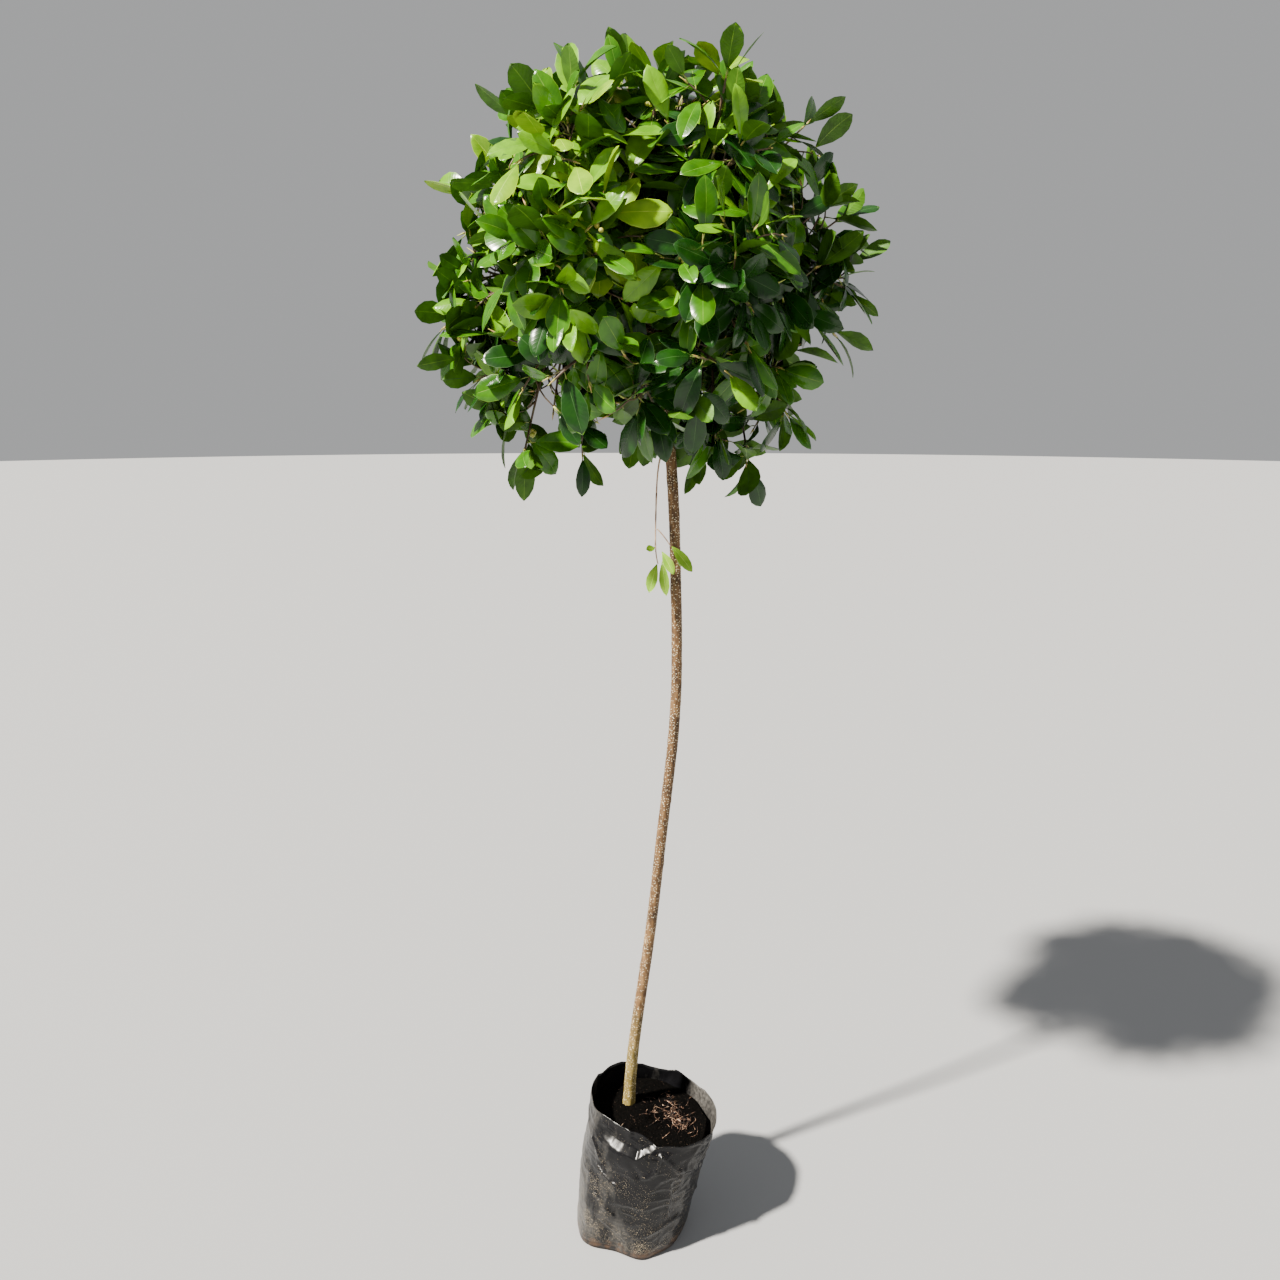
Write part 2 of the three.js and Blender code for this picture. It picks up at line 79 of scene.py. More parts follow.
# The hem's V-shaped fold at the front left: its height at each bearing in radians, its middle and half its
# spread, how far it turns in, and the share of the dust that is wiped off it
HEM_BEARINGS = [-2.6, -1.8, -1.52, -1.3]
HEM_HEIGHTS = [196, 188, 216, 222]
HEM_MIDDLE = -1.95
HEM_SPREAD = 0.6
HEM_TURN = 8.5
HEM_WIPED = 0.75

# Blunt corners of the foot and the flat run between: bearing in radians, how far out, and half the width
FOOT_CORNERS = [(-2.46, 6, 0.24), (-1.92, -9, 0.34), (-1.38, 5, 0.22), (-0.84, 3, 0.25)]

# The compost and the trunk
SOIL_LEVEL = 192
CRUMBS = [(5.1, 4.3, 0.7), (2.7, 3.1, 0.5), (9.7, 8.3, 0.9)]
SOIL_FALL = 0.13
STEM_FOOT = (-3, 34)
CLEAR_STEM = 1140
TRUNK_TOP = 1545
STEM_LEAN = 53
STEM_BOW = 38
BOW_SKEW = 1.4
STEM_DEPTH_DRIFT = -28
STEM_RADIUS = 7.7
STEM_TIP_RADIUS = 3.6
FLARE = 2.2
FLARE_HEIGHT = 230
ROOT_FLARE = 0.8
ROOT_FLARE_HEIGHT = 14

# Scars where side shoots were cut: height, bearing in radians, size and how far they stand out
STEM_KNOTS = [
    (1073, 1.5 * math.pi, 5.5, 1.6), (1180, 0.6, 5, 1.3), (842, 2.5, 6, 1.5), (640, 5.3, 5, 1.2),
    (455, 1.3, 5, 1.1), (980, 4.0, 4, 0.9), (745, 4.4, 4, 0.9), (1235, 4.9, 4, 1.1),
]

# The crown: its middle, its reach, and where boughs hand over to the stems of the masses
CROWN = np.array([20.0, 0.0, 1490.0])
CROWN_REACH = 290
REACH_SPREAD = 26
HUB_SHARE = 0.36
STEM_SHARE = 0.62
BOUGH_RADIUS = 5
BOUGH_TIP_RADIUS = 3.8
BOUGH_SAG = 0.1
STEM_OVER = 0.4
TOP_STEM = 0.9
INNER_STEM_RADIUS = 3.6
INNER_STEM_TIP_RADIUS = 2.7
SHOOT_RADIUS = 2.3
SHOOT_TIP_RADIUS = 1.3
SHOOT_ARCH = 16
SHOOT_INSET = 0.88
FIRST_SHOOT = 0.1
LAST_SHOOT = 0.97
SHOOT_END = 59
TWIG_SHARES = (0.05, 0.22, 0.4, 0.58, 0.76)
TWIG_RADIUS = 1.5
PIECE_LEAVES = 1400
FIG_CLUSTERS = 26

# Leaves on each kind of branch: their number, the share of the branch where they begin, and their angle off
# the branch at the first leaf and at the last, in radians
SHOOT_LEAVES = (9, 0.36, (1.3, 0.1))
TWIG_LEAVES = (6, 0.28, (1.3, 0.4))
STEM_LEAVES = (12, 0.1, (1.3, 0.8))

# How leaves stand: pulled in to the ball when old, drooping, and scattered in the way they face. A leaf that
# would pass its limit by more than the slack is shortened, at most to a share of its length
LEAF_TUCK = 0.3
LEAF_SAG = 0.14
LEAF_SCATTER = 0.36
REACH_SLACK = 4
SHORTEST_LEAF = 0.72

# Where the ball is seen from, and what shows there: openings to the sky, given on the plane y = 0 as (x, z,
# radius), and sprays of young leaves, given there as (x, z)
EYE = np.array([15.5, -1420.0, 1319.5])
SKY_GAPS = [
    (-119, 1314, 25), (-104, 1350, 16), (262, 1413, 9), (154, 1311, 11), (-34, 1304, 13), (-186, 1499, 12),
    (41, 1209, 8), (-216, 1529, 9), (-68, 1264, 11), (98, 1349, 9), (-146, 1674, 8), (-23, 1334, 9),
    (251, 1567, 8), (232, 1410, 8), (35, 1735, 5), (174, 1345, 8), (299, 1489, 8), (-97, 1381, 8),
    (146, 1280, 7), (278, 1577, 7), (-262, 1582, 20), (-268, 1537, 20), (106, 1797, 18), (180, 1770, 16),
]
YOUNG_SPRAYS = [
    (-4, 1762), (135, 1739), (281, 1704), (146, 1570), (160, 1533), (-115, 1737), (47, 1710), (-78, 1604),
    (-20, 1549), (23, 1626), (-211, 1645), (314, 1583),
]
YOUNG_RADIUS = 28

# Rings of masses: how high over the ball's middle they face, the turn of the first one, the height of the
# lowest fork and the step to the next, and the order of a ring's boughs up the trunk
RINGS = [
    {"name": "low", "elevation": -38, "turn": 0, "fork": 1310, "step": 14, "order": [0, 2, 1, 3]},
    {"name": "middle", "elevation": 2, "turn": 0, "fork": 1370, "step": 13, "order": [0, 2, 4, 1, 3, 5]},
    {"name": "upper", "elevation": 44, "turn": 45, "fork": 1452, "step": 13, "order": [0, 2, 1, 3]},
]

# The long sprays of the outline: bearing round the ball's middle in degrees, and how far their leaves reach
OUTLINE_SPRAYS = [
    (96, 304), (114, 282), (131, 312), (152, 308), (174, 286), (195, 336), (209, 320),
    (236, 338), (254, 306), (284, 296), (298, 350), (318, 322), (343, 324), (357, 330),
    (18, 328), (41, 344), (58, 296), (76, 280),
]
SPRAY_PLANES = (0, 60, 120)
SIDE_PLANE_REACH = 0.94
SIDE_PLANE_LIMIT = 0.8
LATTICE_SHOOTS = 42
STEM_CONE = -66 * DEGREE
SHOOT_JITTER = 7 * DEGREE
SHOOT_SEED = 18713

# The light's side of the ball, towards which the tints are dealt brighter as painted light and away from
# which they are dealt deeper as painted shade, and the scores at which the next tint begins
LIGHT_SIDE = np.array([-0.65, -0.2, 0.6])
TINT_STEPS = [0.5, 0.84, 1.14]

# Real leaves of this fig: blade length and width, and the stalk that holds it off the twig
LEAF_LENGTH = 63
LEAF_WIDTH = 32
STALK_LENGTH = 9

# Slivers of bark on the compost
CHIPS = 115

# The floor
FLOOR_RADIUS = 30000
FLOOR_DROP = 0.2


def linear(hex_colour):
    """An sRGB hex colour as linear red, green, blue and alpha."""
    channels = [int(hex_colour[i:i + 2], 16) / 255 for i in (1, 3, 5)]
    return (*[c / 12.92 if c <= 0.04045 else ((c + 0.055) / 1.055) ** 2.4 for c in channels], 1.0)


def smoothstep(low, high, value):
    """0 below low, 1 above high, and 3t^2 - 2t^3 between."""
    t = np.clip((value - low) / (high - low), 0, 1)
    return t * t * (3 - 2 * t)


def unit(vectors):
    """Each vector divided by its length."""
    return vectors / np.maximum(np.linalg.norm(vectors, axis=-1, keepdims=True), 1e-9)


def lerp(start, end, share):
    """The value that lies at a share of the way from start to end."""
    return start + (end - start) * share


# Meshes from arrays

def add_mesh(name, points, faces, materials, indices=None, sharp=None, attributes=None):
    """A mesh of points in millimetres, scaled to metres. faces is a list of index arrays, one for each
    number of sides. sharp marks the points between which every edge stays crisp."""
    mesh = bpy.data.meshes.new(name)
    sides = [row for group in faces for row in np.asarray(group).tolist()]
    mesh.from_pydata((np.asarray(points, dtype=float) * MM).tolist(), [], sides)
    mesh.polygons.foreach_set("use_smooth", np.ones(len(sides), dtype=bool))
    if indices is not None:
        mesh.polygons.foreach_set("material_index", np.asarray(indices, dtype=np.int32))
    if sharp is not None:
        ends = np.empty(len(mesh.edges) * 2, dtype=np.int32)
        mesh.edges.foreach_get("vertices", ends)
        mesh.edges.foreach_set("use_edge_sharp", sharp[ends].reshape(-1, 2).all(axis=1))
    for key, values in (attributes or {}).items():
        values = np.asarray(values, dtype=np.float32)
        kind, slot = ("FLOAT", "value") if values.ndim == 1 else ("FLOAT_VECTOR", "vector")
        mesh.attributes.new(key, kind, "POINT").data.foreach_set(slot, values.ravel())
    mesh.update()
    piece = bpy.data.objects.new(name, mesh)
    bpy.context.scene.collection.objects.link(piece)
    for material in materials:
        mesh.materials.append(material)
    return piece


def grid_faces(rows, columns, closed):
    """Quads of a grid of points. Closed joins the last column to the first."""
    across = np.arange(columns if closed else columns - 1)
    row, column = np.meshgrid(np.arange(rows - 1), across, indexing="ij")
    beside = (column + 1) % columns
    low, high = row * columns, (row + 1) * columns
    return np.stack([low + column, low + beside, high + beside, high + column], axis=-1).reshape(-1, 4)


def end_caps(rows, columns):
    """The first and last rows of a closed grid as two faces that look outwards."""
    return np.stack([np.arange(columns)[::-1], np.arange(columns) + columns * (rows - 1)])


def repeated(faces, count, each):
    """The faces of one shape for count shapes of each points."""
    return (faces[None] + each * np.arange(count)[:, None, None]).reshape(-1, faces.shape[1])


def tubes(start, bend, end, radii, sides=5, steps=7):
    """Many round twigs at once. Each follows a quadratic curve from start over bend to end, in rings of
    sides points, and its radius goes evenly from the first of radii to the second. Both ends are capped."""
    share = np.linspace(0, 1, steps)
    centre, along = bezier(start, bend, end, share)
    across, up = square_frame(along)
    turn = np.linspace(0, 2 * math.pi, sides, endpoint=False)
    radius = lerp(radii[0][:, None], radii[1][:, None], share)[..., None, None]
    ring = (across[:, :, None] * np.cos(turn)[:, None] + up[:, :, None] * np.sin(turn)[:, None])
    points = (centre[:, :, None] + radius * ring).reshape(-1, 3)
    walls = repeated(grid_faces(steps, sides, True), len(start), sides * steps)
    return points, walls, repeated(end_caps(steps, sides), len(start), sides * steps)


def bezier(start, bend, end, share):
    """Points and unit tangents of quadratic curves: (1-t)^2 start + 2t(1-t) bend + t^2 end."""
    t = share[None, :, None]
    a, b, c = start[:, None], bend[:, None], end[:, None]
    point = (1 - t) ** 2 * a + 2 * t * (1 - t) * b + t ** 2 * c
    return point, unit(2 * (1 - t) * (b - a) + 2 * t * (c - b))


def square_frame(along):
    """Two unit directions square to along and to each other. The first lies level."""
    level = np.cross(UP, along)
    flat = np.linalg.norm(level, axis=-1, keepdims=True) < 1e-3
    across = unit(np.where(flat, np.array([1.0, 0.0, 0.0]), level))
    return across, np.cross(along, across)


def turned(across, up, turn):
    """The directions that lie at the angle turn from across towards up."""
    return across * np.cos(turn)[..., None] + up * np.sin(turn)[..., None]


# The crown's plan, by the same rule as the model's solids

def seeded(seed):
    """A repeatable stream of numbers between 0 and 1."""
    state = seed
    while True:
        state = state * 16807 % 2147483647
        yield state / 2147483647


def ring_nodes(kind):
    """The names of the boughs, or of the masses of foliage, of all rings."""
    return [f"{kind}_{ring['name']}_{k + 1}" for ring in RINGS for k in range(len(ring["order"]))]


def towards(azimuth, elevation):
    """The unit vector at an azimuth and an elevation in radians."""
    flat = np.cos(elevation)
    return np.stack([flat * np.cos(azimuth), flat * np.sin(azimuth), np.sin(elevation)], axis=-1)


def stem_axis(height):
    """The trunk's axis: a lean, a bow that is fullest above half height, and a small waver."""
    height = np.asarray(height, dtype=float)
    share = (height - SOIL_LEVEL) / CLEAR_STEM
    bow = STEM_BOW * np.sin(math.pi * np.maximum(share, 0) ** BOW_SKEW)
    waver = 1.4 * np.sin(height / 62)
    return np.stack([
        STEM_FOOT[0] + STEM_LEAN * share + bow + waver,
        STEM_FOOT[1] + STEM_DEPTH_DRIFT * share + 0.8 * waver,
        height,
    ], axis=-1)


def stem_radius(height):
    """Even along the clear stem, tapering in the crown, with a long flare and a short root flare."""
    rise = np.asarray(height, dtype=float) - SOIL_LEVEL
    taper = smoothstep(CLEAR_STEM - 100, TRUNK_TOP - SOIL_LEVEL, rise) * (STEM_RADIUS - STEM_TIP_RADIUS)
    flare = FLARE * np.exp(-rise / FLARE_HEIGHT)
    return STEM_RADIUS - taper + flare + ROOT_FLARE * np.exp(-rise / ROOT_FLARE_HEIGHT)


def plan_masses():
    """Facing, bough curve and inner stem curve of every mass. A bough leaves the trunk's axis and bends
    over to the way that its mass faces, and the stem goes on from its end."""
    facing, forks = [], []
    for ring in RINGS:
        for k, rank in enumerate(ring["order"]):
            azimuth = (ring["turn"] + 360 * k / len(ring["order"])) * DEGREE
            facing.append(towards(azimuth, ring["elevation"] * DEGREE))
            forks.append(ring["fork"] + ring["step"] * rank)
    facing = np.array(facing)
    start = stem_axis(forks)
    end = CROWN + facing * CROWN_REACH * HUB_SHARE
    sag = BOUGH_SAG * np.linalg.norm(end - start, axis=-1, keepdims=True)
    bend = (start + end) / 2 - sag * UP
    boughs = (start, bend, end)
    facing = np.vstack([facing, UP])
    root = np.vstack([end, stem_axis(TRUNK_TOP)])
    along = np.vstack([unit(end - bend), UP])
    share = np.append(np.full(len(forks), STEM_SHARE), TOP_STEM * STEM_SHARE)
    tip = CROWN + facing * (CROWN_REACH * share)[:, None]
    over = root + along * STEM_OVER * np.linalg.norm(tip - root, axis=-1, keepdims=True)
    return facing, boughs, (root, over, tip)


def plan_shoots():
    """Direction, reach and roll of every main shoot: an even lattice, then rings of outline sprays."""
    draw = seeded(SHOOT_SEED)
    shoots = []
    for m in range(LATTICE_SHOOTS):
        elevation = math.asin(1 - 2 * (m + 0.5) / LATTICE_SHOOTS) + SHOOT_JITTER * (next(draw) - 0.5)
        azimuth = m * GOLDEN_TURN + SHOOT_JITTER * (next(draw) - 0.5)
        reach = CROWN_REACH + REACH_SPREAD * (next(draw) - 0.7)
        roll = 2 * math.pi * next(draw)
        if elevation > STEM_CONE:
            shoots.append((towards(azimuth, elevation), reach, roll))
    for plane, turn in enumerate(SPRAY_PLANES):
        for k, (bearing, reach) in enumerate(OUTLINE_SPRAYS):
            if plane > 0:
                reach = OUTLINE_SPRAYS[(k + 4 * plane) % len(OUTLINE_SPRAYS)][1] * SIDE_PLANE_REACH
            flat, rise = math.cos(bearing * DEGREE), math.sin(bearing * DEGREE)
            direction = np.array([flat * math.cos(turn * DEGREE), flat * math.sin(turn * DEGREE), rise])
            roll = 2 * math.pi * next(draw)
            if plane == 0 or abs(rise) <= SIDE_PLANE_LIMIT:
                shoots.append((direction, reach, roll))
    return [np.array(column) for column in zip(*shoots)]


def shoot_curves(facing, stems, direction, reach):
    """Each shoot leaves the stem of the mass that faces its way, the straightest one last, and arches out to
    most of a leaf short of its reach."""
    straightness = direction @ facing.T
    mass = straightness.argmax(axis=1)
    share = np.empty(len(direction))
    for m in range(len(facing)):
        own = np.flatnonzero(mass == m)
        order = own[np.argsort(straightness[own, m])]
        share[order] = lerp(FIRST_SHOOT, LAST_SHOOT, np.arange(len(own)) / max(len(own) - 1, 1))
    t = share[:, None]
    root, over, tip = [points[mass] for points in stems]
    start = (1 - t) ** 2 * root + 2 * t * (1 - t) * over + t ** 2 * tip
    inset = unit(lerp(direction, facing[mass], 1 - SHOOT_INSET))
    end = CROWN + inset * (reach - SHOOT_END)[:, None]
    arch = np.where(direction[:, 2] < 0, SHOOT_ARCH, -SHOOT_ARCH)[:, None]
    return start, (start + end) / 2 + arch * UP, end


# Materials

def set_input(tree, socket, value):
    """Links a socket to another one, or sets it to a plain value."""
    if isinstance(value, bpy.types.NodeSocket):
        tree.links.new(value, socket)
    else:
        socket.default_value = value


def add_node(tree, kind, inputs=None, **settings):
    """One shader node with its settings, and its inputs set to values or linked to sockets."""
    node = tree.nodes.new(kind)
    for key, value in settings.items():
        setattr(node, key, value)
    for key, value in (inputs or {}).items():
        set_input(tree, node.inputs[key], value)
    return node


def new_material(name, roughness, ior=1.5):
    """A named material, its node tree and its principled shader."""
    material = bpy.data.materials.new(name)
    material.use_nodes = True
    tree = material.node_tree
    shader = tree.nodes["Principled BSDF"]
    shader.inputs["Roughness"].default_value = roughness
    shader.inputs["IOR"].default_value = ior
    return material, tree, shader


def object_place(tree):
    """The place on the piece in metres."""
    return add_node(tree, "ShaderNodeTexCoord").outputs["Object"]


def noise(tree, place, size_mm, detail=3.0, roughness=0.55):
    """Noise whose blotches are about size_mm across."""
    inputs = {"Vector": place, "Scale": 1 / (size_mm * MM), "Detail": detail, "Roughness": roughness}
    return add_node(tree, "ShaderNodeTexNoise", inputs).outputs["Fac"]


def ramp(tree, factor, stops):
    """A colour ramp through (place, hex colour) stops."""
    node = add_node(tree, "ShaderNodeValToRGB", {"Fac": factor})
    elements = node.color_ramp.elements
    while len(elements) < len(stops):
        elements.new(0.5)
    for element, (place, colour) in zip(elements, stops):
        element.position = place
        element.color = linear(colour)
    return node.outputs["Color"]


def math_node(tree, operation, first, second=0.0):
    """One sum or function of two values or sockets."""
    node = add_node(tree, "ShaderNodeMath", operation=operation)
    for socket, value in zip(node.inputs, (first, second)):
        set_input(tree, socket, value)
    return node.outputs[0]


def plus(tree, first, second):
    """The two added."""
    return math_node(tree, "ADD", first, second)


def minus(tree, first, second):
    """The first less the second."""
    return math_node(tree, "SUBTRACT", first, second)


def times(tree, first, second):
    """The two multiplied."""
    return math_node(tree, "MULTIPLY", first, second)


def remap(tree, value, low, high, to_low=0.0, to_high=1.0):
    """A value carried from the range low to high over to another range, and held within it."""
    inputs = {"Value": value, "From Min": low, "From Max": high, "To Min": to_low, "To Max": to_high}
    return add_node(tree, "ShaderNodeMapRange", inputs).outputs["Result"]


def attribute(tree, name):
    """The node that reads one of the mesh's own attributes."""
    return add_node(tree, "ShaderNodeAttribute", attribute_name=name)


def blend_colours(tree, factor, first, second):
    """The first colour where the factor is 0 and the second where it is 1."""
    node = add_node(tree, "ShaderNodeMix", data_type="RGBA")
    for socket, value in ((0, factor), (6, first), (7, second)):
        set_input(tree, node.inputs[socket], value)
    return node.outputs[2]


def bump(tree, shader, height, depth_mm, strength):
    """Fine relief, depth_mm deep where the height goes from 0 to 1, as a change of the shading alone."""
    inputs = {"Height": height, "Distance": depth_mm * MM, "Strength": strength}
    node = add_node(tree, "ShaderNodeBump", inputs)
    tree.links.new(node.outputs["Normal"], shader.inputs["Normal"])


def side_veins(tree):
    """0 to 1, high on fine side veins that leave the midrib at a slant, from the blade attribute, whose x is
    the share along the blade and whose y is the share across it."""
    parts = add_node(tree, "ShaderNodeSeparateXYZ", {"Vector": attribute(tree, "blade").outputs["Vector"]})
    out = math_node(tree, "ABSOLUTE", parts.outputs["Y"])
    slant = minus(tree, parts.outputs["X"], times(tree, out, 0.16))
    wave = math_node(tree, "SINE", times(tree, slant, 75.0))
    return math_node(tree, "POWER", math_node(tree, "MULTIPLY_ADD", wave, 0.5), 6.0)


def leaf_skin(name, dark, light, roughness, ior):
    """Waxy fig leaf, upper side: a smooth cuticle over green, so it has soft white highlights and a slight
    unevenness of colour, about 20 mm across, with fine side veins."""
    material, tree, shader = new_material(name, roughness, ior)
    tone = ramp(tree, noise(tree, object_place(tree), 22, 2.0), [(0.32, dark), (0.68, light)])
    veined = blend_colours(tree, times(tree, side_veins(tree), 0.16), tone, linear(light))
    tree.links.new(veined, shader.inputs["Base Color"])
    bump(tree, shader, side_veins(tree), 0.12, 0.35)
    return material


def leaf_underside(name, dark, light):
    """Fig leaf, lower side: paler and duller than the upper side, with raised veins."""
    material, tree, shader = new_material(name, 0.5, 1.35)
    tone = ramp(tree, noise(tree, object_place(tree), 18, 2.0), [(0.3, dark), (0.7, light)])
    tree.links.new(tone, shader.inputs["Base Color"])
    bump(tree, shader, side_veins(tree), 0.2, 0.5)
    return material


def leaf_rib(name, colour, pale):
    """Midrib and the thin horny margin of a fig leaf: pale yellow-green and smooth."""
    material, tree, shader = new_material(name, 0.42, 1.45)
    tone = ramp(tree, noise(tree, object_place(tree), 9, 1.0), [(0.35, colour), (0.65, pale)])
    tree.links.new(tone, shader.inputs["Base Color"])
    return material


def young_bark():
    """Twig bark: thin, slightly glossy, brown with olive patches, and finely uneven."""
    material, tree, shader = new_material("twig_bark", 0.55)
    place = object_place(tree)
    tone = ramp(tree, noise(tree, place, 26, 3.0), [(0.3, "#43352a"), (0.5, "#5f4c38"), (0.7, "#66663a")])
    tree.links.new(tone, shader.inputs["Base Color"])
    bump(tree, shader, noise(tree, place, 2.5, 2.0), 0.4, 0.5)
    return material


# The foliage

BLADE_STATIONS = np.array([0.0, 0.14, 0.32, 0.54, 0.75, 0.9, 1.0])
BLADE_HALF_WIDTHS = np.array([0.06, 0.39, 0.78, 1.0, 0.88, 0.5, 0.04])
BLADE_COLUMNS = np.array([-1.0, -0.968, -0.5, -0.02, 0.02, 0.5, 0.968, 1.0])
BLADE_STRIPS = [1, 0, 0, 1, 0, 0, 1]


def blades(root, along, upper, length, width, droop, fold, curl, wave):
    """Many leaf blades at once. A point is share s along the blade and share c across it: c times the half
    width across, s times the length along, and above that a fold of |c|, less a curl of c squared and a droop
    of s squared, plus a wave of the margin. The underside is a shallow keel that meets the margins."""
    across = unit(np.cross(along, upper))
    above = np.cross(across, along)
    s = BLADE_STATIONS[None, :, None]
    c = BLADE_COLUMNS[None, None, :]
    half = (width / 2)[:, None, None] * BLADE_HALF_WIDTHS[None, :, None]
    size, bent = length[:, None, None], droop[:, None, None]
    rise, drop = np.sin(fold)[:, None, None], curl[:, None, None]
    x = c * half * np.cos(fold)[:, None, None]
    y = size * (s - 0.35 * bent ** 2 * s ** 3)
    arch = -bent * size * s ** 2 * 0.55
    ripple = wave[:, None, None] * np.sin(2.2 * math.pi * s + 9 * bent + 2 * np.sign(c)) * c ** 2
    z = half * (rise * np.abs(c) - drop * c ** 2) + arch + ripple
    top = place_points(root, across, along, above, x, y, z)
    keel = 0.6 * BLADE_HALF_WIDTHS[None, :, None] ** 0.5
    c = np.array([-0.03, 0.03])[None, None, :]
    under = place_points(root, across, along, above, c * half, y, arch - keel)
    return np.concatenate([top, under], axis=1), top.shape[1]


def place_points(root, across, along, above, x, y, z):
    """Local x, y, z of each blade carried to its root and directions."""
    axes = ((x, across), (y, along), (z, above))
    parts = [value[..., None] * axis[:, None, None, :] for value, axis in axes]
    return (root[:, None, None] + sum(parts)).reshape(len(root), -1, 3)


def blade_faces():
    """Faces of one blade and their materials: 0 the upper side, 1 ribs and margins, 2 the underside."""
    rows, columns = len(BLADE_STATIONS), len(BLADE_COLUMNS)
    top = grid_faces(rows, columns, False)
    strip = np.tile(BLADE_STRIPS, rows - 1)
    keel = rows * columns + 2 * np.arange(rows)
    left = np.arange(rows) * columns
    right = left + columns - 1
    edges = [left, keel, keel + 1, right]
    below = np.concatenate([
        np.stack([a[1:], b[1:], b[:-1], a[:-1]], axis=-1) for a, b in zip(edges[:-1], edges[1:])
    ])
    base = np.append(np.arange(columns)[::-1], keel[0] + np.arange(2))
    tip = np.append((rows - 1) * columns + np.arange(columns), keel[-1] + np.arange(2)[::-1])
    quads = np.concatenate([top, below])
    kinds = np.concatenate([strip, np.repeat([2, 1, 2], rows - 1)])
    return quads, kinds, np.stack([base, tip])


def add_leaves(name, leaves, materials):
    """One mesh of all the leaves of a tint."""
    points, top = blades(**leaves)
    count, each = points.shape[:2]
    quads, kinds, ends = blade_faces()
    rows, columns = len(BLADE_STATIONS), len(BLADE_COLUMNS)
    margin = np.zeros(each, dtype=bool)
    margin[np.arange(rows) * columns] = True
    margin[np.arange(rows) * columns + columns - 1] = True
    blade = np.zeros((each, 3))
    blade[:top, 0] = np.repeat(BLADE_STATIONS, columns)
    blade[:top, 1] = np.tile(BLADE_COLUMNS, rows)
    blade[top:, 0] = np.repeat(BLADE_STATIONS, 2)
    faces = [repeated(quads, count, each), repeated(ends, count, each)]
    indices = np.concatenate([np.tile(kinds, count), np.full(2 * count, 1)])
    return add_mesh(
        name, points.reshape(-1, 3), faces, materials, indices,
        sharp=np.tile(margin, count), attributes={"blade": np.tile(blade, (count, 1))},
    )


def leaves_along(curves, roll, count, first, spread, rng):
    """Where leaves leave many shoots: by the golden turn, crowded towards the tip, each blade at an angle to
    its shoot that closes towards the tip."""
    share = 1 - (1 - first) * (1 - np.linspace(0, 1, count)) ** 1.5
    root, along = bezier(*curves, share)
    across, up = square_frame(along)
    turn = roll[:, None] + np.arange(count) * GOLDEN_TURN + rng.normal(0, 0.3, (len(roll), count))
    outward = turned(across, up, turn)
    angle = lerp(spread[0], spread[1], np.linspace(0, 1, count) ** 3) + rng.normal(0, 0.16, turn.shape)
    blade = along * np.cos(angle)[..., None] + outward * np.sin(angle)[..., None]
    age = np.broadcast_to(np.linspace(1, 0, count), turn.shape)
    return [values.reshape(-1, 3) for values in (root, along, outward, blade)] + [age.ravel()]


def side_twigs(curves, roll, reach, shares, rng):
    """Finer twigs: they leave each shoot at the given shares, twice the golden turn apart, and curve away
    from it. The line from a twig's start to its end lies about 47 degrees off the shoot, and a little up."""
    root, along = bezier(*curves, np.asarray(shares))
    across, up = square_frame(along)
    turn = roll[:, None] + 2.1 + np.arange(len(shares)) * GOLDEN_TURN * 2
    outward = turned(across, up, turn)
    direction = unit(along * 0.75 + outward * 0.8 + UP * 0.12)
    length = rng.uniform(46, 92, turn.shape)[..., None] * lerp(1.1, 0.7, np.asarray(shares))[None, :, None]
    start = root.reshape(-1, 3)
    end = (root + direction * length).reshape(-1, 3)
    bend = (root + (along * 0.3 + direction * 0.25) * length).reshape(-1, 3)
    offset = end - CROWN
    limit = np.repeat(reach, len(shares)) - 52
    end = CROWN + offset * np.minimum(1, limit / np.linalg.norm(offset, axis=-1))[:, None]
    return start, bend, end


def reach_limit(directions, sprays, reach):
    """How far a leaf tip may stand off the crown's middle: as far as the nearest shoot reaches, if one is
    within 14 degrees, and otherwise a little less than the crown's own reach."""
    near = directions @ sprays.T
    return np.where(near.max(axis=1) > math.cos(14 * DEGREE), reach[near.argmax(axis=1)], CROWN_REACH - 8)


def seen_on_plane(points):
    """The x and z at which each point is seen on the plane y = 0."""
    sight = points - EYE
    return (EYE - sight * (EYE[1] / sight[:, 1])[:, None])[:, [0, 2]]


def clear_of_gaps(points, margin):
    """False for points in an opening of the ball, widened by the margin. An opening is a cone from where the
    ball is seen."""
    seen = seen_on_plane(points)
    clear = np.ones(len(points), dtype=bool)
    for x, z, radius in SKY_GAPS:
        clear &= np.hypot(*(seen - (x, z)).T) > radius + margin
    return clear


def deal_tints(root, branch, spray, age, rng):
    """A tint for each leaf, dealt out by branch: bright ones mostly high and towards the light, as painted
    light, deep ones low and away from it, as painted shade, and alike within a spray. Some of the youngest
    leaves are a tint brighter."""
    number = len(spray)
    middle = np.stack([np.bincount(branch, axis, number) for axis in root.T], axis=-1)
    middle = middle / np.bincount(branch, minlength=number)[:, None]
    # Painted light and shade: the score, and with it the tint, rises towards the light's side and falls away
    # from it
    score = 0.48 + 0.52 * (middle - CROWN) @ LIGHT_SIDE / CROWN_REACH
    score = score + rng.normal(0, 0.14, spray.max() + 1)[spray] + rng.normal(0, 0.09, number)
    seen = seen_on_plane(middle)
    for x, z in YOUNG_SPRAYS:
        near = (np.hypot(*(seen - (x, z)).T) < YOUNG_RADIUS) & (middle[:, 1] < 40)
        score = score + 0.5 * near
    tints = np.searchsorted(TINT_STEPS, score)
    younger = (age < 0.3) & (rng.random(len(root)) < 0.4)
    return np.minimum(tints[branch] + younger, 3)


